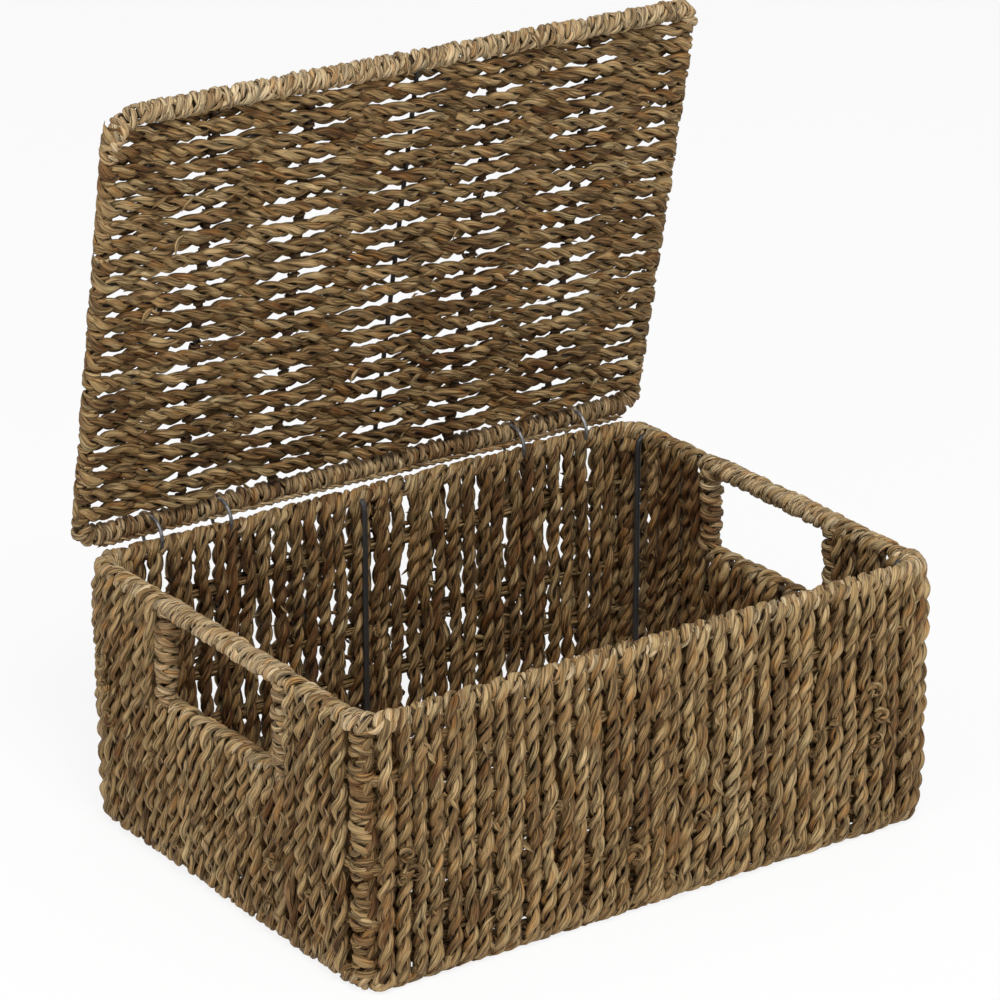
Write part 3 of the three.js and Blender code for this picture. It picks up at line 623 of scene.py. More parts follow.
def make_leaf_group():
    """Dried leaf strands: fibres and folds stretched along the strand map, patches, painted shade in the
    crevices between plies and in fold valleys, and painted shade along the fold lines. Puts out a colour, a
    roughness and a height."""
    tree = bpy.data.node_groups.new("dried_leaf", "ShaderNodeTree")
    group_input(tree, "Pale", "Color", (0.5, 0.4, 0.25, 1))
    group_input(tree, "Middle", "Color", (0.3, 0.22, 0.12, 1))
    group_input(tree, "Brown", "Color", (0.15, 0.09, 0.05, 1))
    group_input(tree, "Red tint", "Color", (0.86, 0.66, 0.46, 1))
    group_input(tree, "Grey tint", "Color", (0.88, 0.95, 0.98, 1))
    group_input(tree, "Painted shade strength", "Float", 0.8)
    group_outputs(tree)
    into = tree.nodes.new("NodeGroupInput").outputs
    out = tree.nodes.new("NodeGroupOutput").inputs
    strand_map = tree.nodes.new("ShaderNodeUVMap")
    strand_map.uv_map = "strand"
    vector = strand_map.outputs["UV"]
    fibre = streaks(tree, vector, (14.0, 0.9, 1.0), 4.0, 0.6)
    leaf = streaks(tree, vector, (4.5, 0.35, 1.0), 2.0, 0.5)
    patch = streaks(tree, vector, (1.2, 0.5, 1.0), 2.0, 0.5)
    crease = fold_lines(tree, vector, (3.3, 0.26, 1.0), 0.052)
    fine_crease = fold_lines(tree, vector, (8.0, 0.5, 1.0), 0.05)
    fibre_and_leaf = math_node(tree, "ADD", centred(tree, fibre, 1.0), centred(tree, leaf, 0.7))
    tone_part = math_node(tree, "MULTIPLY", attribute_value(tree, "tone"), 0.19)
    patch_and_tone = math_node(tree, "ADD", centred(tree, patch, 0.75), tone_part)
    level = math_node(tree, "ADD", fibre_and_leaf, patch_and_tone)
    level = math_node(tree, "ADD", level, 0.5, clamp=True)
    colour = mix_colour(tree, spread(tree, level, 0.05, 0.45), into["Brown"], into["Middle"])
    colour = mix_colour(tree, spread(tree, level, 0.4, 0.95), colour, into["Pale"])
    red_share = spread(tree, streaks(tree, vector, (1.1, 0.42, 3.0)), 0.5, 0.68)
    grey_share = spread(tree, streaks(tree, vector, (1.3, 0.36, 7.0)), 0.52, 0.7)
    red = mix_colour(tree, 1.0, colour, into["Red tint"], "MULTIPLY")
    grey = mix_colour(tree, 1.0, colour, into["Grey tint"], "MULTIPLY")
    colour = mix_colour(tree, red_share, colour, red)
    colour = mix_colour(tree, grey_share, colour, grey)
    # Painted shade: where the mesh's shade level is low, between plies and in fold valleys, the colour goes
    # towards near black
    shallow = spread(tree, attribute_value(tree, "shade_level"), 0.27, 0.44)
    deep = math_node(tree, "SUBTRACT", 1.0, shallow, clamp=True)
    deep = math_node(tree, "MULTIPLY", deep, into["Painted shade strength"])
    colour = mix_colour(tree, deep, colour, (0.012, 0.007, 0.004))
    # Painted shade along the fold lines: thin dark lines stand in for the shade in the leaf's creases; the
    # same lines also sink the bump below
    colour = mix_colour(tree, math_node(tree, "MULTIPLY", crease, 0.7), colour, (0.026, 0.013, 0.006))
    colour = mix_colour(tree, math_node(tree, "MULTIPLY", fine_crease, 0.3), colour, (0.05, 0.027, 0.012))
    height = math_node(tree, "ADD", math_node(tree, "MULTIPLY", fibre, 0.5), leaf)
    height = math_node(tree, "SUBTRACT", height, math_node(tree, "MULTIPLY", crease, 0.9))
    height = math_node(tree, "SUBTRACT", height, math_node(tree, "MULTIPLY", fine_crease, 0.4))
    feed(tree, out["Colour"], colour)
    feed(tree, out["Roughness"], math_node(tree, "MULTIPLY_ADD", fibre, -0.25, 0.75))
    feed(tree, out["Height"], height)
    return tree


def make_wire_group():
    """Wire: a colour with dull worn patches, and fine scratches, from noise on Object coordinates.
    Puts out a colour, a roughness and a height."""
    tree = bpy.data.node_groups.new("drawn_wire", "ShaderNodeTree")
    group_input(tree, "Clean", "Color", (0.2, 0.2, 0.2, 1))
    group_input(tree, "Worn", "Color", (0.1, 0.1, 0.1, 1))
    group_input(tree, "Dullness", "Float", 0.5)
    group_outputs(tree)
    into = tree.nodes.new("NodeGroupInput").outputs
    out = tree.nodes.new("NodeGroupOutput").inputs
    where = tree.nodes.new("ShaderNodeTexCoord").outputs["Object"]
    worn_share = spread(tree, streaks(tree, where, (90.0, 90.0, 30.0), 3.0), 0.35, 0.7)
    grain = noise(tree, where, 1400.0, 2.0)
    rough = math_node(tree, "ADD", centred(tree, grain, 0.3), into["Dullness"])
    feed(tree, out["Colour"], mix_colour(tree, worn_share, into["Clean"], into["Worn"]))
    feed(tree, out["Roughness"], rough)
    feed(tree, out["Height"], grain)
    return tree


def grouped_material(name, group, values, strength, distance):
    """A material that takes its colour, roughness and bump from a group placed with its own values.
    Gives its shader too."""
    material = bpy.data.materials.new(name)
    material.use_nodes = True
    tree = material.node_tree
    shader = tree.nodes["Principled BSDF"]
    node = tree.nodes.new("ShaderNodeGroup")
    node.node_tree = group
    bump = tree.nodes.new("ShaderNodeBump")
    for key, value in values.items():
        feed(tree, node.inputs[key], value)
    feed(tree, bump.inputs["Strength"], strength)
    feed(tree, bump.inputs["Distance"], distance)
    feed(tree, bump.inputs["Height"], node.outputs["Height"])
    feed(tree, shader.inputs["Base Color"], node.outputs["Colour"])
    feed(tree, shader.inputs["Roughness"], node.outputs["Roughness"])
    feed(tree, shader.inputs["Normal"], bump.outputs["Normal"])
    return material, shader


def leaf_material(name, pale, middle, brown, painted_shade_strength):
    """Dried leaf, from its palest to its darkest colour, with painted shade in its crevices and almost no
    gloss.
    """
    values = {"Pale": pale, "Middle": middle, "Brown": brown, "Painted shade strength": painted_shade_strength}
    material, shader = grouped_material(name, leaf_group, values, 0.8, 0.0016)
    shader.inputs["Specular IOR Level"].default_value = 0.22
    return material


def wire_material(name, clean, worn, metallic, dullness):
    """Wire with its clean and worn colours, how metallic it looks and how dull it is."""
    values = {"Clean": clean, "Worn": worn, "Dullness": dullness}
    material, shader = grouped_material(name, wire_group, values, 0.25, 0.0002)
    shader.inputs["Metallic"].default_value = metallic
    return material


leaf_group = make_leaf_group()
wire_group = make_wire_group()
weave_leaf = leaf_material("seagrass_weave", (0.655, 0.471, 0.236), (0.36, 0.225, 0.0925),
                           (0.127, 0.055, 0.0164), 0.97)
binding_leaf = leaf_material("seagrass_binding", (0.82, 0.628, 0.376), (0.5, 0.341, 0.169),
                             (0.2, 0.095, 0.033), 0.9)
brown_leaf = leaf_material("seagrass_core", (0.3, 0.2, 0.1), (0.16, 0.09, 0.042), (0.09, 0.045, 0.02), 0.7)
dark_wire = wire_material("dark_steel_wire", (0.034, 0.033, 0.033), (0.06, 0.055, 0.05), 0.4, 0.55)
# Painted shade: wires hidden in the rope are dark brown so that where they show between the turns they read
# as shade
brown_wire = wire_material("shade_brown_wire", (0.085, 0.052, 0.026), (0.045, 0.028, 0.015), 0.1, 0.8)
zinc_wire = wire_material("zinc_wire", (0.24, 0.24, 0.245), (0.12, 0.12, 0.12), 0.85, 0.5)


def finish_wires():
    """Wires bound in rope are dark brown, painted shade for where they show between its turns; the rods
    inside the walls and the lid's cross wires are dark, and the hinge rings are zinc."""
    for name, node in frame["nodes"].items():
        if name.startswith("hinge_ring"):
            finish = zinc_wire
        elif name.endswith(("stay", "post")) or name.startswith("lid_cross"):
            finish = dark_wire
        else:
            finish = brown_wire
        node.data.materials.clear()
        node.data.materials.append(finish)


def woven(name, parts, body, nodes=()):
    """A finished piece of plain weave."""
    finished(name, parts, weave_leaf, body, nodes)


def bound(name, parts, body, nodes=()):
    """A finished piece of the paler binding."""
    finished(name, parts, binding_leaf, body, nodes)


# The walls
def laced_wall(name, wall, places, tops, nodes, seed, stay=None, radius=ROPE_RADIUS, wobble=1.5,
               plump=0.0, dim=0.0):
    """One stretch of laced wall. Plump keeps its loops over the rim from pressing flat, and dim darkens
    them. Beside a handle opening one more inner run fills the wall next to the jamb."""
    own = np.random.default_rng(seed)
    local = lacing(own, places, tops, stay)
    local[:, 3] *= np.where(local[:, 2] > RIM_HEIGHT - 18.0, 1.0 - plump, 1.0)
    local[:, 4] -= dim * ramp(local[:, 2], RIM_HEIGHT - RIM_FADE, RIM_FADE)
    parts = rope(own, wall.place(local), wall.along, radius, WALL_LAY, wobble=wobble, rough=1.15)
    if tops.min() < tops.max():
        beside = upright(JAMB_PLACE + 10.0, INSIDE, RIM_HEIGHT - 8.0, 20.0, pale=INSIDE_SHADE_TONE)
        parts += rope(own, wall.place(beside), wall.along, radius, WALL_LAY, wobble=0.5)
    woven(name, parts, "basket", nodes)


def make_long_wall(label, stay, first, ends, seed, radius, **look):
    """A front or back wall in two stretches, with even runs counted from its stay. The run where they
    meet is in both, and moved aside in the second."""
    places = stay + RUN_PITCH * np.arange(first, first + LONG_WALL_RUNS)
    second = places[MEETING_RUN:].copy()
    second[0] += 3.0
    nodes = (label + "_wall_weave", label + "_base_edge_rope")
    for index, stretch in enumerate((places[:MEETING_RUN + 1], second)):
        tops = np.full(len(stretch), RIM_HEIGHT)
        laced_wall(f"{label}_wall_ropes_{ends[index]}", WALLS[label], stretch, tops, nodes[:2 - index],
                   seed + index, stay, radius, **look)


def make_side_wall(label, seed):
    """A left or right wall, with its middle runs only up to the handle opening's sill."""
    places = np.linspace(-SIDE_RUN_REACH, SIDE_RUN_REACH, SIDE_WALL_RUNS)
    tops = np.where(np.abs(places) < JAMB_PLACE + 0.6, SILL_HEIGHT, RIM_HEIGHT)
    laced_wall(label + "_wall_ropes", WALLS[label], places, tops,
               (label + "_wall_weave", label + "_base_edge_rope"), seed)


def make_crossing_strands(own, wall, count):
    """Short loose strands that cross between the two layers of a wall, each a slanting parabola."""
    parts = []
    ceiling = 90.0 if wall.has_handle else 152.0
    for _ in range(count):
        middle = own.uniform(-wall.half + 12.0, wall.half - 12.0)
        height = own.uniform(14.0, ceiling)
        s = np.linspace(-1.0, 1.0, 8) * own.uniform(5.0, 12.0)
        z = height + own.uniform(-0.6, 0.6) * s + own.uniform(-2.0, 2.0) * (s / 12.0) ** 2
        line = wall.place(np.column_stack([middle + s, np.full(8, own.uniform(-1.4, 1.4)), z]))
        outward = wall.out * own.choice([INSIDE, OUTSIDE])
        parts.append(strand(own, line, s - s[0], outward, half_width=own.uniform(1.0, 1.9),
                            half_thick=0.9, tone=own.uniform(-1.2, 0.3)))
    return parts


# Thin brown strands that lie along the waist wires between the two layers of rope: each one's height
# above the wire and its place outwards, on a wall and in a corner
WAIST_STACK = ((-3.2, -0.9), (-1.0, 2.0), (1.2, 1.9), (-1.1, -2.0), (1.0, -2.0), (3.3, 0.9))
CORNER_STACK = ((-1.6, 1.8), (0.6, 2.2), (2.4, 1.4), (0.0, -2.0))


def make_waist_strands(label, wall, seed):
    """A wall's strands along its waist wires, broken by a handle opening, and strands that cross them."""
    own = np.random.default_rng(seed)
    parts = []
    for height in WAIST_HEIGHTS:
        spans = [(-wall.half, wall.half)]
        if wall.has_handle and height > SILL_HEIGHT:
            spans = [(-wall.half, -JAMB_PLACE - 4.0), (JAMB_PLACE + 4.0, wall.half)]
        for low, high in spans:
            for level, off in WAIST_STACK:
                s = np.arange(low, high, COARSE_STEP)
                o = off + 0.5 * drift(own, s - low, 9.0)
                z = height + level + 0.6 * drift(own, s - low, 14.0)
                line = wall.place(np.column_stack([s, o, z]))
                parts.append(strand(own, line, s - low, wall.out * np.sign(off), half_width=1.4,
                                    half_thick=0.9))
    share = 1.6 if label == "front" else 0.7
    parts += make_crossing_strands(own, wall, int(share * wall.half))
    woven(label + "_waist_strands", parts, "basket")


# The rim, foot, sills, jambs and grips
RIM_SIDE_START = 57.0
RIM_SIDE_END = 132.0
SILL_REACH = 68.0
GRIP_REACH = 64.0
JAMB_FOOT = 107.0
JAMB_TOP = 162.0
FULL_JAMB = 1.8


def filler(wall, low, high, z, pitch, seed, start, tone=0.6):
    """Short turns of thin rope round a level wire, between the loops of the wall."""
    return winding(np.random.default_rng(seed), level_line(wall, low, high, z), UP, pitch, reach=(4.2, 4.2),
                   radius=2.9, lay=18.0, hand=-1.0, tone=tone, start=start, flat=0.6)


def make_rim(label, pitch, seed, tone):
    """The turns between the loops over a long wall's rim wire."""
    wall = WALLS[label]
    part = filler(wall, -wall.half, wall.half, RIM_HEIGHT, pitch, seed, start=1.2, tone=tone)
    bound(label + "_rim_filling", part, "basket", (label + "_rim_rope",))


def make_foot(label, wall, seed):
    """The turns between the loops under the base wire."""
    part = filler(wall, -wall.half, wall.half, BASE_HEIGHT, RUN_PITCH, seed, start=0.4, tone=-0.4)
    woven(label + "_foot_filling", part, "basket")


def make_jamb(label, wall, side, sign, seed):
    """The rope bound round one upright side of a handle opening. The right wall's front one is fuller."""
    full = FULL_JAMB if (label, side) == ("right", "front") else 0.0
    line = wall.place(mid_line(sign * (JAMB_PLACE - full), np.linspace(JAMB_FOOT, JAMB_TOP, 30)))
    part = winding(np.random.default_rng(seed), line, wall.along, pitch=5.9, reach=(5.0, 5.2 + 0.6 * full),
                   radius=3.8, lay=21.0, hand=1.0, tone=-0.7, flat=0.5, loose=2.3)
    bound(f"{label}_handle_{side}_jamb_binding", part, "basket", (f"{label}_handle_{side}_jamb_rope",))


def make_handle(label, seed):
    """The rim on both sides of a handle opening, its two jambs, its sill and its grip."""
    wall = WALLS[label]
    front_sign = -1.0 if label == "right" else 1.0
    for side, sign in (("front", front_sign), ("back", -front_sign)):
        part = filler(wall, sign * RIM_SIDE_START, sign * RIM_SIDE_END, RIM_HEIGHT, pitch=9.5,
                      seed=seed + 1, start=0.6)
        bound(f"{label}_rim_{side}_filling", part, "basket", (f"{label}_rim_{side}_rope",))
        make_jamb(label, wall, side, sign, seed + 2 + (sign > 0))
    part = filler(wall, -SILL_REACH, SILL_REACH, SILL_HEIGHT, pitch=12.4, seed=seed + 5, start=0.6)
    bound(f"{label}_sill_filling", part, "basket", (f"{label}_handle_sill_rope",))
    line = level_line(wall, -GRIP_REACH, GRIP_REACH, RIM_HEIGHT)
    part = winding(np.random.default_rng(seed + 6), line, UP, pitch=4.9, reach=(4.5, 4.5), radius=3.65,
                   lay=19.0, hand=-1.0, tone=0.7, flat=0.65, loose=1.1)
    bound(f"{label}_grip_binding", part, "basket", (f"{label}_grip_winding",))


# The corners
COLUMN_FOOT = 4.0
COLUMN_TOP = 161.0

# The upright ropes round a bend: each one's place along it, and where its inner end starts above the base
# when it goes on outside, and when it doesn't
CORNER_ROPES = ((5.0, 24.0, RIM_HEIGHT - 8.0), (12.0, RIM_HEIGHT - 16.0, 20.0),
                (19.0, 24.0, RIM_HEIGHT - 8.0))


def corner_runs(own, corner, inside_only):
    """Three upright ropes round a bend: from an inner end down under the base wire, up outside, over the
    rim wire and a little way down inside. Where a column takes their place outside, only the inner ends
    are made."""
    parts = []
    for s, end_height, lone_height in CORNER_ROPES:
        lean = own.uniform(-1.0, 1.0)
        if inside_only:
            rows = [upright(s, INSIDE, lone_height, BASE_HEIGHT + 4.0, pale=INSIDE_SHADE_TONE)]
        else:
            rows = [upright(s, INSIDE, end_height, BASE_HEIGHT, pale=INSIDE_SHADE_TONE),
                    turned(s, s, BASE_HEIGHT, UNDER),
                    upright(s, OUTSIDE, BASE_HEIGHT, RIM_HEIGHT, lean=lean),
                    turned(s, s, RIM_HEIGHT, OVER),
                    upright(s, INSIDE, RIM_HEIGHT, RIM_HEIGHT - 18.0, pale=INSIDE_SHADE_TONE)]
        path = corner.place(np.concatenate(rows))
        parts += rope(own, path, corner.along(s), ROPE_RADIUS, WALL_LAY, wobble=0.8)
    return parts


def corner_strands(own, corner):
    """Thin strands round a bend at each waist wire."""
    parts = []
    for height in WAIST_HEIGHTS:
        for level, off in CORNER_STACK:
            s = np.linspace(-4.0, 26.0, 12)
            line = corner.place(np.column_stack([s, np.full(12, off), np.full(12, height + level)]))
            outward = unit(np.sign(off) * (line - np.array([*corner.middle, height + level])))
            parts.append(strand(own, line, s - s[0], outward, half_width=1.5, half_thick=1.0))
    return parts


def corner_column(own, corner, side_x, side_y):
    """The front left corner's column: rope wrapped round an upright line that stands out from the bend's
    middle, more to the side than to the front."""
    reach, sideways, forwards = 12.6, 0.9, 0.45
    x = corner.middle[0] + side_x * reach * sideways
    y = corner.middle[1] + side_y * reach * forwards
    line = straight((x, y, COLUMN_FOOT), (x, y, COLUMN_TOP), 60)
    lateral = np.array([side_x * forwards, -side_y * sideways, 0.0])
    return winding(own, line, lateral, pitch=7.8, reach=(4.6, 5.0), radius=4.3, lay=24.0, hand=1.0,
                   tone=-0.5, flat=0.6, loose=1.8)


def make_corner(label, side_x, side_y, start, seed):
    """A corner's upright ropes, or its column, and the wraps round the bends of the rim and base wires."""
    own = np.random.default_rng(seed)
    corner = Bend(side_x, side_y, start)
    has_column = label == "front_left"
    parts = corner_runs(own, corner, has_column) + corner_strands(own, corner)
    if has_column:
        parts += corner_column(own, corner, side_x, side_y)
    nodes = (label + "_corner_binding",)
    woven(label + "_corner_ropes", parts, "basket", nodes)
    pitch, radius = (5.8, 3.2) if side_y > 0 else (5.2, 3.6)
    rim = corner.place(mid_line(np.linspace(-3.0, 25.0, 24), RIM_HEIGHT))
    foot = corner.place(mid_line(np.linspace(0.0, 22.0, 24), BASE_HEIGHT))
    parts = winding(own, rim, UP, pitch, reach=(4.6, 4.6), radius=radius, lay=18.0, hand=-1.0, tone=0.5,
                    flat=0.7)
    parts += winding(own, foot, UP, pitch=6.0, reach=(4.2, 4.2), radius=3.0, lay=17.0, hand=-1.0, tone=0.0)
    bound(label + "_corner_wraps", parts, "basket", nodes)


# The base and the lid's weave
def rows_of_weave(own, rows, first, pitch, supports, reach, level, turn_reach, loose, crowd=0.0,
                  peak=1.0):
    """The rope's line through a flat weave, as x, y, z and flatness: each row swings over and under the
    cross wires, half a wave from one to the next, and turns round the edge wire into the next row. A
    peak over 1 keeps it near the middle between the wires, and crowding brings some rows closer."""
    supports = np.array(supports)
    last_row = LID_ROWS - 1
    lines = []
    for j in rows:
        u = j / last_row
        share = u + crowd * (math.sin(math.pi * u) - 0.8 * math.sin(2.0 * math.pi * u))
        y = first + last_row * pitch * share + own.uniform(-loose, loose)
        x = np.arange(supports[0], supports[-1] + 0.1, PATH_STEP)
        signs = (-1.0) ** (j + np.arange(len(supports)))
        index = np.clip(np.searchsorted(supports, x, side="right") - 1, 0, len(supports) - 2)
        wave = np.cos(math.pi * (x - supports[index]) / (supports[index + 1] - supports[index]))
        z = reach * signs[index] * np.sign(wave) * np.abs(wave) ** peak
        edge = ramp(np.abs(x), supports[-1] - 16.0, 12.0)
        z = z * (1.0 + edge * (turn_reach / reach - 1.0))
        bow = 1.2 * own.uniform(-1.0, 1.0) * np.sin(math.pi * (x - x[0]) / (x[-1] - x[0]))
        going = 1 if j % 2 == 0 else -1
        lines.append(np.column_stack([x, y + bow, level + z, edge])[::going])
        turn = np.linspace(0.0, math.pi, 7)[1:-1]
        turn_sign = signs[-1] if going > 0 else signs[0]
        x = going * (supports[-1] + turn_reach * np.sin(turn))
        y = y + pitch * (0.5 - 0.5 * np.cos(turn))
        z = level + turn_sign * turn_reach * np.cos(turn)
        lines.append(np.column_stack([x, y, z, np.ones(len(turn))]))
    return np.concatenate(lines)


def make_base():
    """The base: one rope in rows along its length, pressed thin."""
    own = np.random.default_rng(71)
    path = rows_of_weave(own, range(BASE_ROWS), -RIGHT.half, BASE_ROW_PITCH, BASE_WIRES, reach=2.2,
                         level=BASE_HEIGHT, turn_reach=3.0, loose=0.2)
    parts = rope(own, path, np.array([0.0, 1.0, 0.0]), BASE_ROPE_RADIUS, BASE_LAY, tone=-0.3, wobble=0.2,
                 step=COARSE_STEP, sides=THIN_PLY_SIDES, thin=0.84, wide=1.16, rough=0.7)
    woven("base_ropes", parts, "basket", ("base_weave",))


# The lid
LID_DOWN = np.array([0.0, -math.cos(OPEN_ANGLE), math.sin(OPEN_ANGLE)])
LID_UP = np.array([0.0, math.sin(OPEN_ANGLE), math.cos(OPEN_ANGLE)])
ACROSS = np.array([1.0, 0.0, 0.0])


def opened(path):
    """Turns a path from the shut lid's own place to the open one, about the hinge line."""
    y, z = path[:, 1], path[:, 2]
    new = path.copy()
    new[:, 1] = y * math.cos(OPEN_ANGLE) + z * math.sin(OPEN_ANGLE) + HINGE[1]
    new[:, 2] = -y * math.sin(OPEN_ANGLE) + z * math.cos(OPEN_ANGLE) + HINGE[2]
    return new


def make_lid_rows(label, low, high, edge_ropes, seed):
    """One third of the lid's rows, from the hinge up. The upper two thirds stand for the side edges too."""
    own = np.random.default_rng(seed)
    path = rows_of_weave(own, range(low, high), LID_FIRST_ROW, -LID_ROW_PITCH, LID_WIRES, reach=4.2,
                         level=LID_LEVEL, turn_reach=4.3, loose=0.6, crowd=0.012, peak=1.5)
    parts = rope(own, opened(path), LID_DOWN, LID_ROPE_RADIUS, LID_LAY, tone=-0.38, wobble=1.3,
                 thin=0.87, wide=1.08, rough=1.15)
    woven("lid_ropes_" + label, parts, "lid", ("lid_weave", *edge_ropes))


def lid_bar_line(y, left_radius, right_radius, inward, leg):
    """The line of a lid bar with both its bends: up the left side, across and down the right side."""
    t = np.linspace(0.0, math.pi / 2.0, 10)
    x = np.concatenate([[-LID_EDGE], -LID_EDGE + left_radius * (1.0 - np.cos(t)),
                        LID_EDGE - right_radius * (1.0 - np.sin(t)), [LID_EDGE]])
    depth = np.concatenate([[left_radius + leg], left_radius * (1.0 - np.sin(t)),
                            right_radius * (1.0 - np.cos(t)), [right_radius + leg]])
    return opened(np.column_stack([x, y + inward * depth, np.full(len(x), LID_LEVEL), np.zeros(len(x))]))


def make_free_bar():
    """The lid's free bar: a rope wound round it, and a thinner one wound over that the other way."""
    own = np.random.default_rng(91)
    line = lid_bar_line(FREE_BAR, left_radius=20.0, right_radius=9.0, inward=1.0, leg=4.0)
    parts = winding(own, line, LID_UP, pitch=6.2, reach=(4.5, 4.5), radius=3.4, lay=18.0, hand=-1.0,
                    tone=0.6, flat=0.6, loose=1.4)
    parts += winding(own, line, LID_UP, pitch=13.0, reach=(5.4, 5.4), radius=2.4, lay=16.0, hand=1.0,
                     tone=0.9, flat=0.6, loose=1.6)
    bound("lid_free_bar_binding", parts, "lid", ("lid_front_bar_rope",))


def make_hinge_bar():
    """The rope wound round the lid's hinge bar."""
    own = np.random.default_rng(92)
    line = lid_bar_line(HINGE_BAR, left_radius=9.0, right_radius=9.0, inward=-1.0, leg=2.0)
    parts = winding(own, line, LID_UP, pitch=6.2, reach=(4.7, 4.7), radius=3.4, lay=20.0, hand=1.0,
                    tone=-0.7, flat=0.65)
    bound("lid_hinge_bar_binding", parts, "lid", ("lid_hinge_bar_rope",))


def make_hinge_side_run():
    """A thin run of rope along the hinge bar, at a depth from the bar's middle towards the hinge line
    that grows to the right."""
    own = np.random.default_rng(96)
    x = np.linspace(-196.0, 196.0, 130)
    depth = 6.7 + 1.3 * ramp(x, -40.0, 130.0) + 0.4 * drift(own, x - x[0], 40.0)
    share = 1.0 - depth / math.hypot(HINGE_BAR, LID_LEVEL)
    run = opened(np.column_stack([x, HINGE_BAR * share, LID_LEVEL * share, np.zeros(len(x))]))
    parts = rope(own, run, LID_UP, 1.95, 12.0, tone=-0.3, wobble=0.6, sides=THIN_PLY_SIDES)
    bound("lid_hinge_side_run", parts, "lid")


def make_wire_wraps():
    """Thin rope wound round the lid's cross wires, except the bare one in the middle."""
    own = np.random.default_rng(93)
    parts = []
    for index, x in enumerate(CROSS_WIRES):
        if index == len(CROSS_WIRES) // 2:
            continue
        line = opened(straight((x, -11.0, LID_LEVEL), (x, -280.0, LID_LEVEL), 120))
        parts += winding(own, line, ACROSS, pitch=4.4, reach=(2.5, 2.5), radius=1.8, lay=11.0, hand=1.0,
                         tone=0.0, flat=0.4, loose=1.5, step=2.6)
    finished("lid_wire_wraps", parts, brown_leaf, "lid")


def make_edge_wraps():
    """Rope wound along the lid's side wires between the turns of the rows."""
    own = np.random.default_rng(94)
    parts = []
    for x, far in ((-LID_EDGE, -262.0), (LID_EDGE, -272.0)):
        line = opened(straight((x, -14.0, LID_LEVEL), (x, far, LID_LEVEL), 120))
        parts += winding(own, line, ACROSS, pitch=LID_ROW_PITCH, reach=(3.6, 3.6), radius=2.8, lay=16.0,
                         hand=1.0, tone=0.1, flat=0.5, loose=1.3)
    finished("lid_edge_wraps", parts, weave_leaf, "lid")


# Leaf ends worked loose from the ropes, and rope ends tucked back on themselves
TANGLES = {
    "front": ((-181.0, 86.0), (-176.0, 73.0), (-22.0, 40.0), (157.0, 66.0), (160.0, 82.0), (155.0, 98.0)),
    "left": ((-118.0, 96.0), (-121.0, 112.0), (-112.0, 79.0), (64.0, 52.0)),
}
CURL_SIZE = 4.0
TANGLE_SIZE = 5.8


def make_wall_ends(own, label, half, count):
    """A wall's leaf ends, at random places clear of a handle opening, then its small curls, then its
    larger tangles at their own places along the wall and up it."""
    wall = WALLS[label]
    parts = []
    for _ in range(count):
        s = own.uniform(-half, half)
        z = own.uniform(12.0, 150.0)
        if wall.has_handle and abs(s) < 70.0 and z > 96.0:
            continue
        face = OUTSIDE if own.uniform() < 0.75 else INSIDE
        start = wall.place(np.array([[s, face * (LAYER + 3.5), z]]))[0]
        way = unit(UP * own.choice([-1.0, 1.0]) + wall.along * own.uniform(-0.7, 0.7))
        parts.append(leaf_end(own, start, way, wall.out * face, own.uniform(4.0, 11.0),
                              own.uniform(-0.8, 0.9)))
    curls = [(own.uniform(-half, half), own.uniform(16.0, 90.0), own.choice([INSIDE, OUTSIDE, OUTSIDE]),
              CURL_SIZE) for _ in range(int(half / 22.0))]
    curls += [(s, z, OUTSIDE, TANGLE_SIZE) for s, z in TANGLES.get(label, ())]
    for s, z, face, size in curls:
        start = wall.place(np.array([[s, face * (LAYER + 0.85 * size), z]]))[0]
        parts += curled_end(own, start, wall.along, wall.out * face, own.uniform(0.4, 0.5) * size, size)
    woven(label + "_leaf_ends", parts, "basket")


def make_lid_ends(own, count):
    """The lid's leaf ends, on both its faces."""
    parts = []
    for _ in range(count):
        x = own.uniform(-198.0, 198.0)
        y = own.uniform(-282.0, -12.0)
        face = 1.0 if own.uniform() < 0.4 else -1.0
        start = opened(np.array([[x, y, LID_LEVEL + face * 5.6]]))[0]
        way = unit(ACROSS * own.choice([-1.0, 1.0]) + LID_DOWN * own.uniform(-0.6, 0.6))
        parts.append(leaf_end(own, start, way, LID_UP * face, own.uniform(5.0, 14.0),
                              own.uniform(-0.6, 1.0)))
    woven("lid_leaf_ends", parts, "lid")


# Floor, world, lamps and camera
def seen_directly(tree):
    """1 for a ray from the camera, on its own or by way of gloss or glass, and 0 for other light."""
    rays = tree.nodes.new("ShaderNodeLightPath").outputs
    seen = math_node(tree, "MAXIMUM", rays["Is Camera Ray"], rays["Is Glossy Ray"])
    return math_node(tree, "MAXIMUM", seen, rays["Is Transmission Ray"])


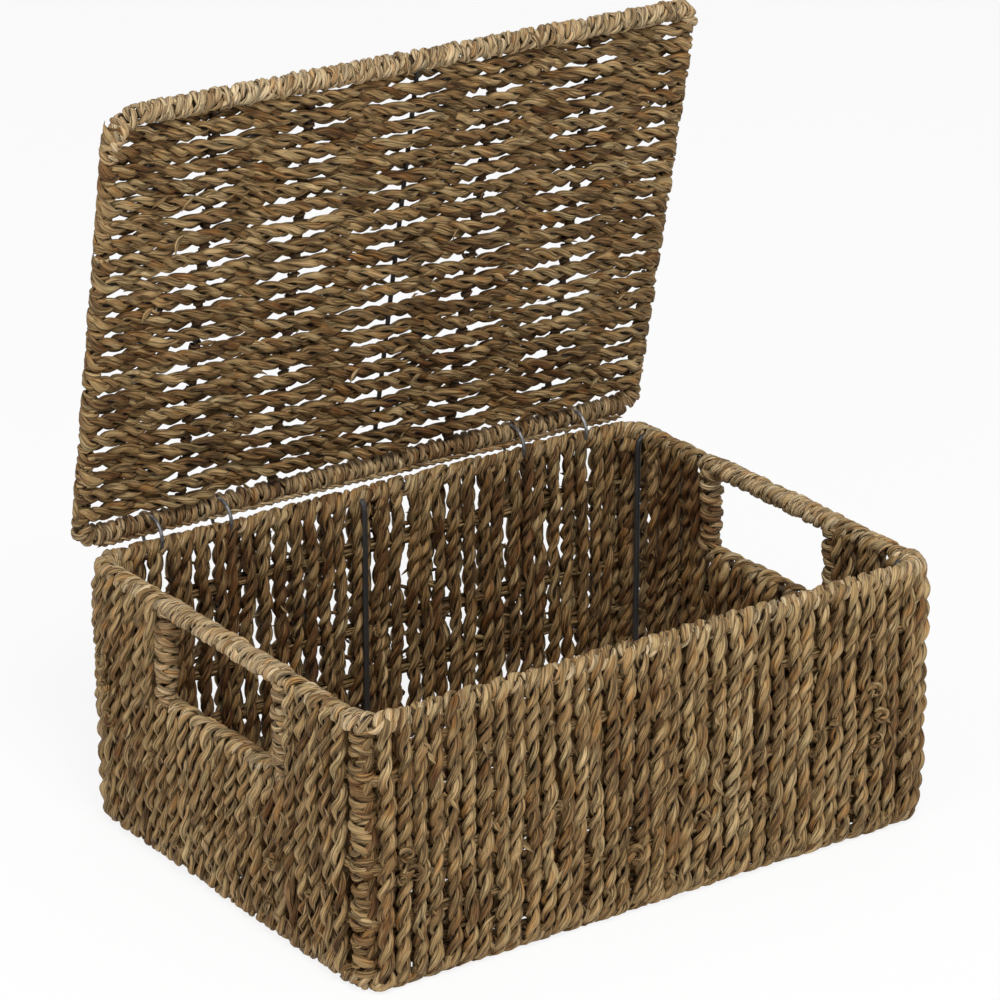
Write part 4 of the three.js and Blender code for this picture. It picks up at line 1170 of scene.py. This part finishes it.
def make_floor():
    """A wide white floor just under the box. It glows for the camera, and its shadows stay in part."""
    half, level, glow_share = 12.0, -0.0006, 0.86
    mesh = bpy.data.meshes.new("floor")
    corners = [(-half, -half, level), (half, -half, level), (half, half, level), (-half, half, level)]
    mesh.from_pydata(corners, [], [(0, 1, 2, 3)])
    floor = bpy.data.objects.new("floor", mesh)
    bpy.context.scene.collection.objects.link(floor)
    paint = bpy.data.materials.new("studio_floor")
    paint.use_nodes = True
    tree = paint.node_tree
    surface = tree.nodes["Principled BSDF"]
    glow = tree.nodes.new("ShaderNodeEmission")
    blend = tree.nodes.new("ShaderNodeMixShader")
    feed(tree, surface.inputs["Base Color"], (1.0, 1.0, 1.0))
    feed(tree, surface.inputs["Roughness"], 0.9)
    feed(tree, surface.inputs["Specular IOR Level"], 0.0)
    feed(tree, glow.inputs["Color"], (1.0, 1.0, 1.0))
    feed(tree, glow.inputs["Strength"], 1.0)
    feed(tree, blend.inputs[0], math_node(tree, "MULTIPLY", seen_directly(tree), glow_share))
    feed(tree, blend.inputs[1], surface.outputs[0])
    feed(tree, blend.inputs[2], glow.outputs[0])
    feed(tree, tree.nodes["Material Output"].inputs["Surface"], blend.outputs[0])
    mesh.materials.append(paint)


def make_world():
    """A white room: full white to the camera, and a plain dim light on the object."""
    light_level = 0.45
    world = bpy.data.worlds.new("studio")
    bpy.context.scene.world = world
    world.use_nodes = True
    tree = world.node_tree
    sky = tree.nodes["Background"]
    feed(tree, sky.inputs["Color"], (1.0, 1.0, 1.0))
    strength = math_node(tree, "MULTIPLY_ADD", seen_directly(tree), 1.0 - light_level, light_level)
    feed(tree, sky.inputs["Strength"], strength)


def aimed(thing, place, aim):
    """Sets a lamp or camera at a place, in metres, looking at another, and adds it to the scene."""
    thing.location = place
    thing.rotation_euler = (Vector(aim) - Vector(place)).to_track_quat("-Z", "Y").to_euler()
    bpy.context.scene.collection.objects.link(thing)


def make_lamp(name, place, aim, size, power):
    """A square lamp."""
    data = bpy.data.lights.new(name, "AREA")
    data.shape = "SQUARE"
    data.size = size
    data.energy = power
    aimed(bpy.data.objects.new(name, data), place, aim)


def make_camera(azimuth, elevation, distance, target):
    """The photograph's view: round from the front and up, in degrees, at a distance from a target."""
    view = bpy.data.cameras.new("view")
    view.lens = 159.3
    view.sensor_width = 36.0
    view.clip_end = 50.0
    azimuth, elevation = math.radians(azimuth), math.radians(elevation)
    target = Vector(target)
    eye = target + distance * Vector((math.sin(azimuth) * math.cos(elevation),
                                      -math.cos(azimuth) * math.cos(elevation), math.sin(elevation)))
    camera = bpy.data.objects.new("view", view)
    aimed(camera, eye, target)
    bpy.context.scene.camera = camera
    bpy.context.scene.view_settings.view_transform = "Standard"


finish_wires()
make_long_wall("front", FRONT_STAY, first=-16, ends=("left", "right"), seed=11, radius=FRONT_ROPE_RADIUS,
               plump=0.3)
make_long_wall("back", BACK_STAY, first=-18, ends=("right", "left"), seed=13, radius=BACK_ROPE_RADIUS,
               wobble=2.5, dim=0.8)
make_side_wall("left", seed=15)
make_side_wall("right", seed=16)
make_rim("front", pitch=7.4, seed=21, tone=0.6)
make_rim("back", pitch=RUN_PITCH, seed=22, tone=-0.4)
for seed, (label, wall) in enumerate(WALLS.items(), 25):
    make_foot(label, wall, seed)
make_handle("left", seed=31)
make_handle("right", seed=41)
make_corner("front_left", -1, -1, start=180.0, seed=51)
make_corner("front_right", 1, -1, start=-90.0, seed=52)
make_corner("back_left", -1, 1, start=90.0, seed=53)
make_corner("back_right", 1, 1, start=0.0, seed=54)
for seed, (label, wall) in enumerate(WALLS.items(), 61):
    make_waist_strands(label, wall, seed)
make_base()
make_lid_rows("low", 0, 14, edge_ropes=(), seed=81)
make_lid_rows("middle", 14, 28, edge_ropes=("lid_left_edge_rope",), seed=82)
make_lid_rows("high", 28, LID_ROWS, edge_ropes=("lid_right_edge_rope",), seed=83)
make_free_bar()
make_hinge_bar()
make_hinge_side_run()
make_wire_wraps()
make_edge_wraps()

leaf_rng = np.random.default_rng(95)
for label, half, count in (("front", 185.0, 210), ("right", 125.0, 60), ("back", 185.0, 70),
                           ("left", 125.0, 120)):
    make_wall_ends(leaf_rng, label, half, count)
make_lid_ends(leaf_rng, count=130)

make_floor()
make_world()
make_lamp("key", (-0.7, -1.7, 2.9), aim=(0.0, 0.0, 0.1), size=1.2, power=62.0)
make_lamp("fill", (-2.4, -0.8, 1.6), aim=(0.0, 0.0, 0.15), size=1.2, power=14.0)
make_camera(azimuth=-35.257, elevation=21.557, distance=2.6193, target=(-0.00765, 0.0, 0.20746))
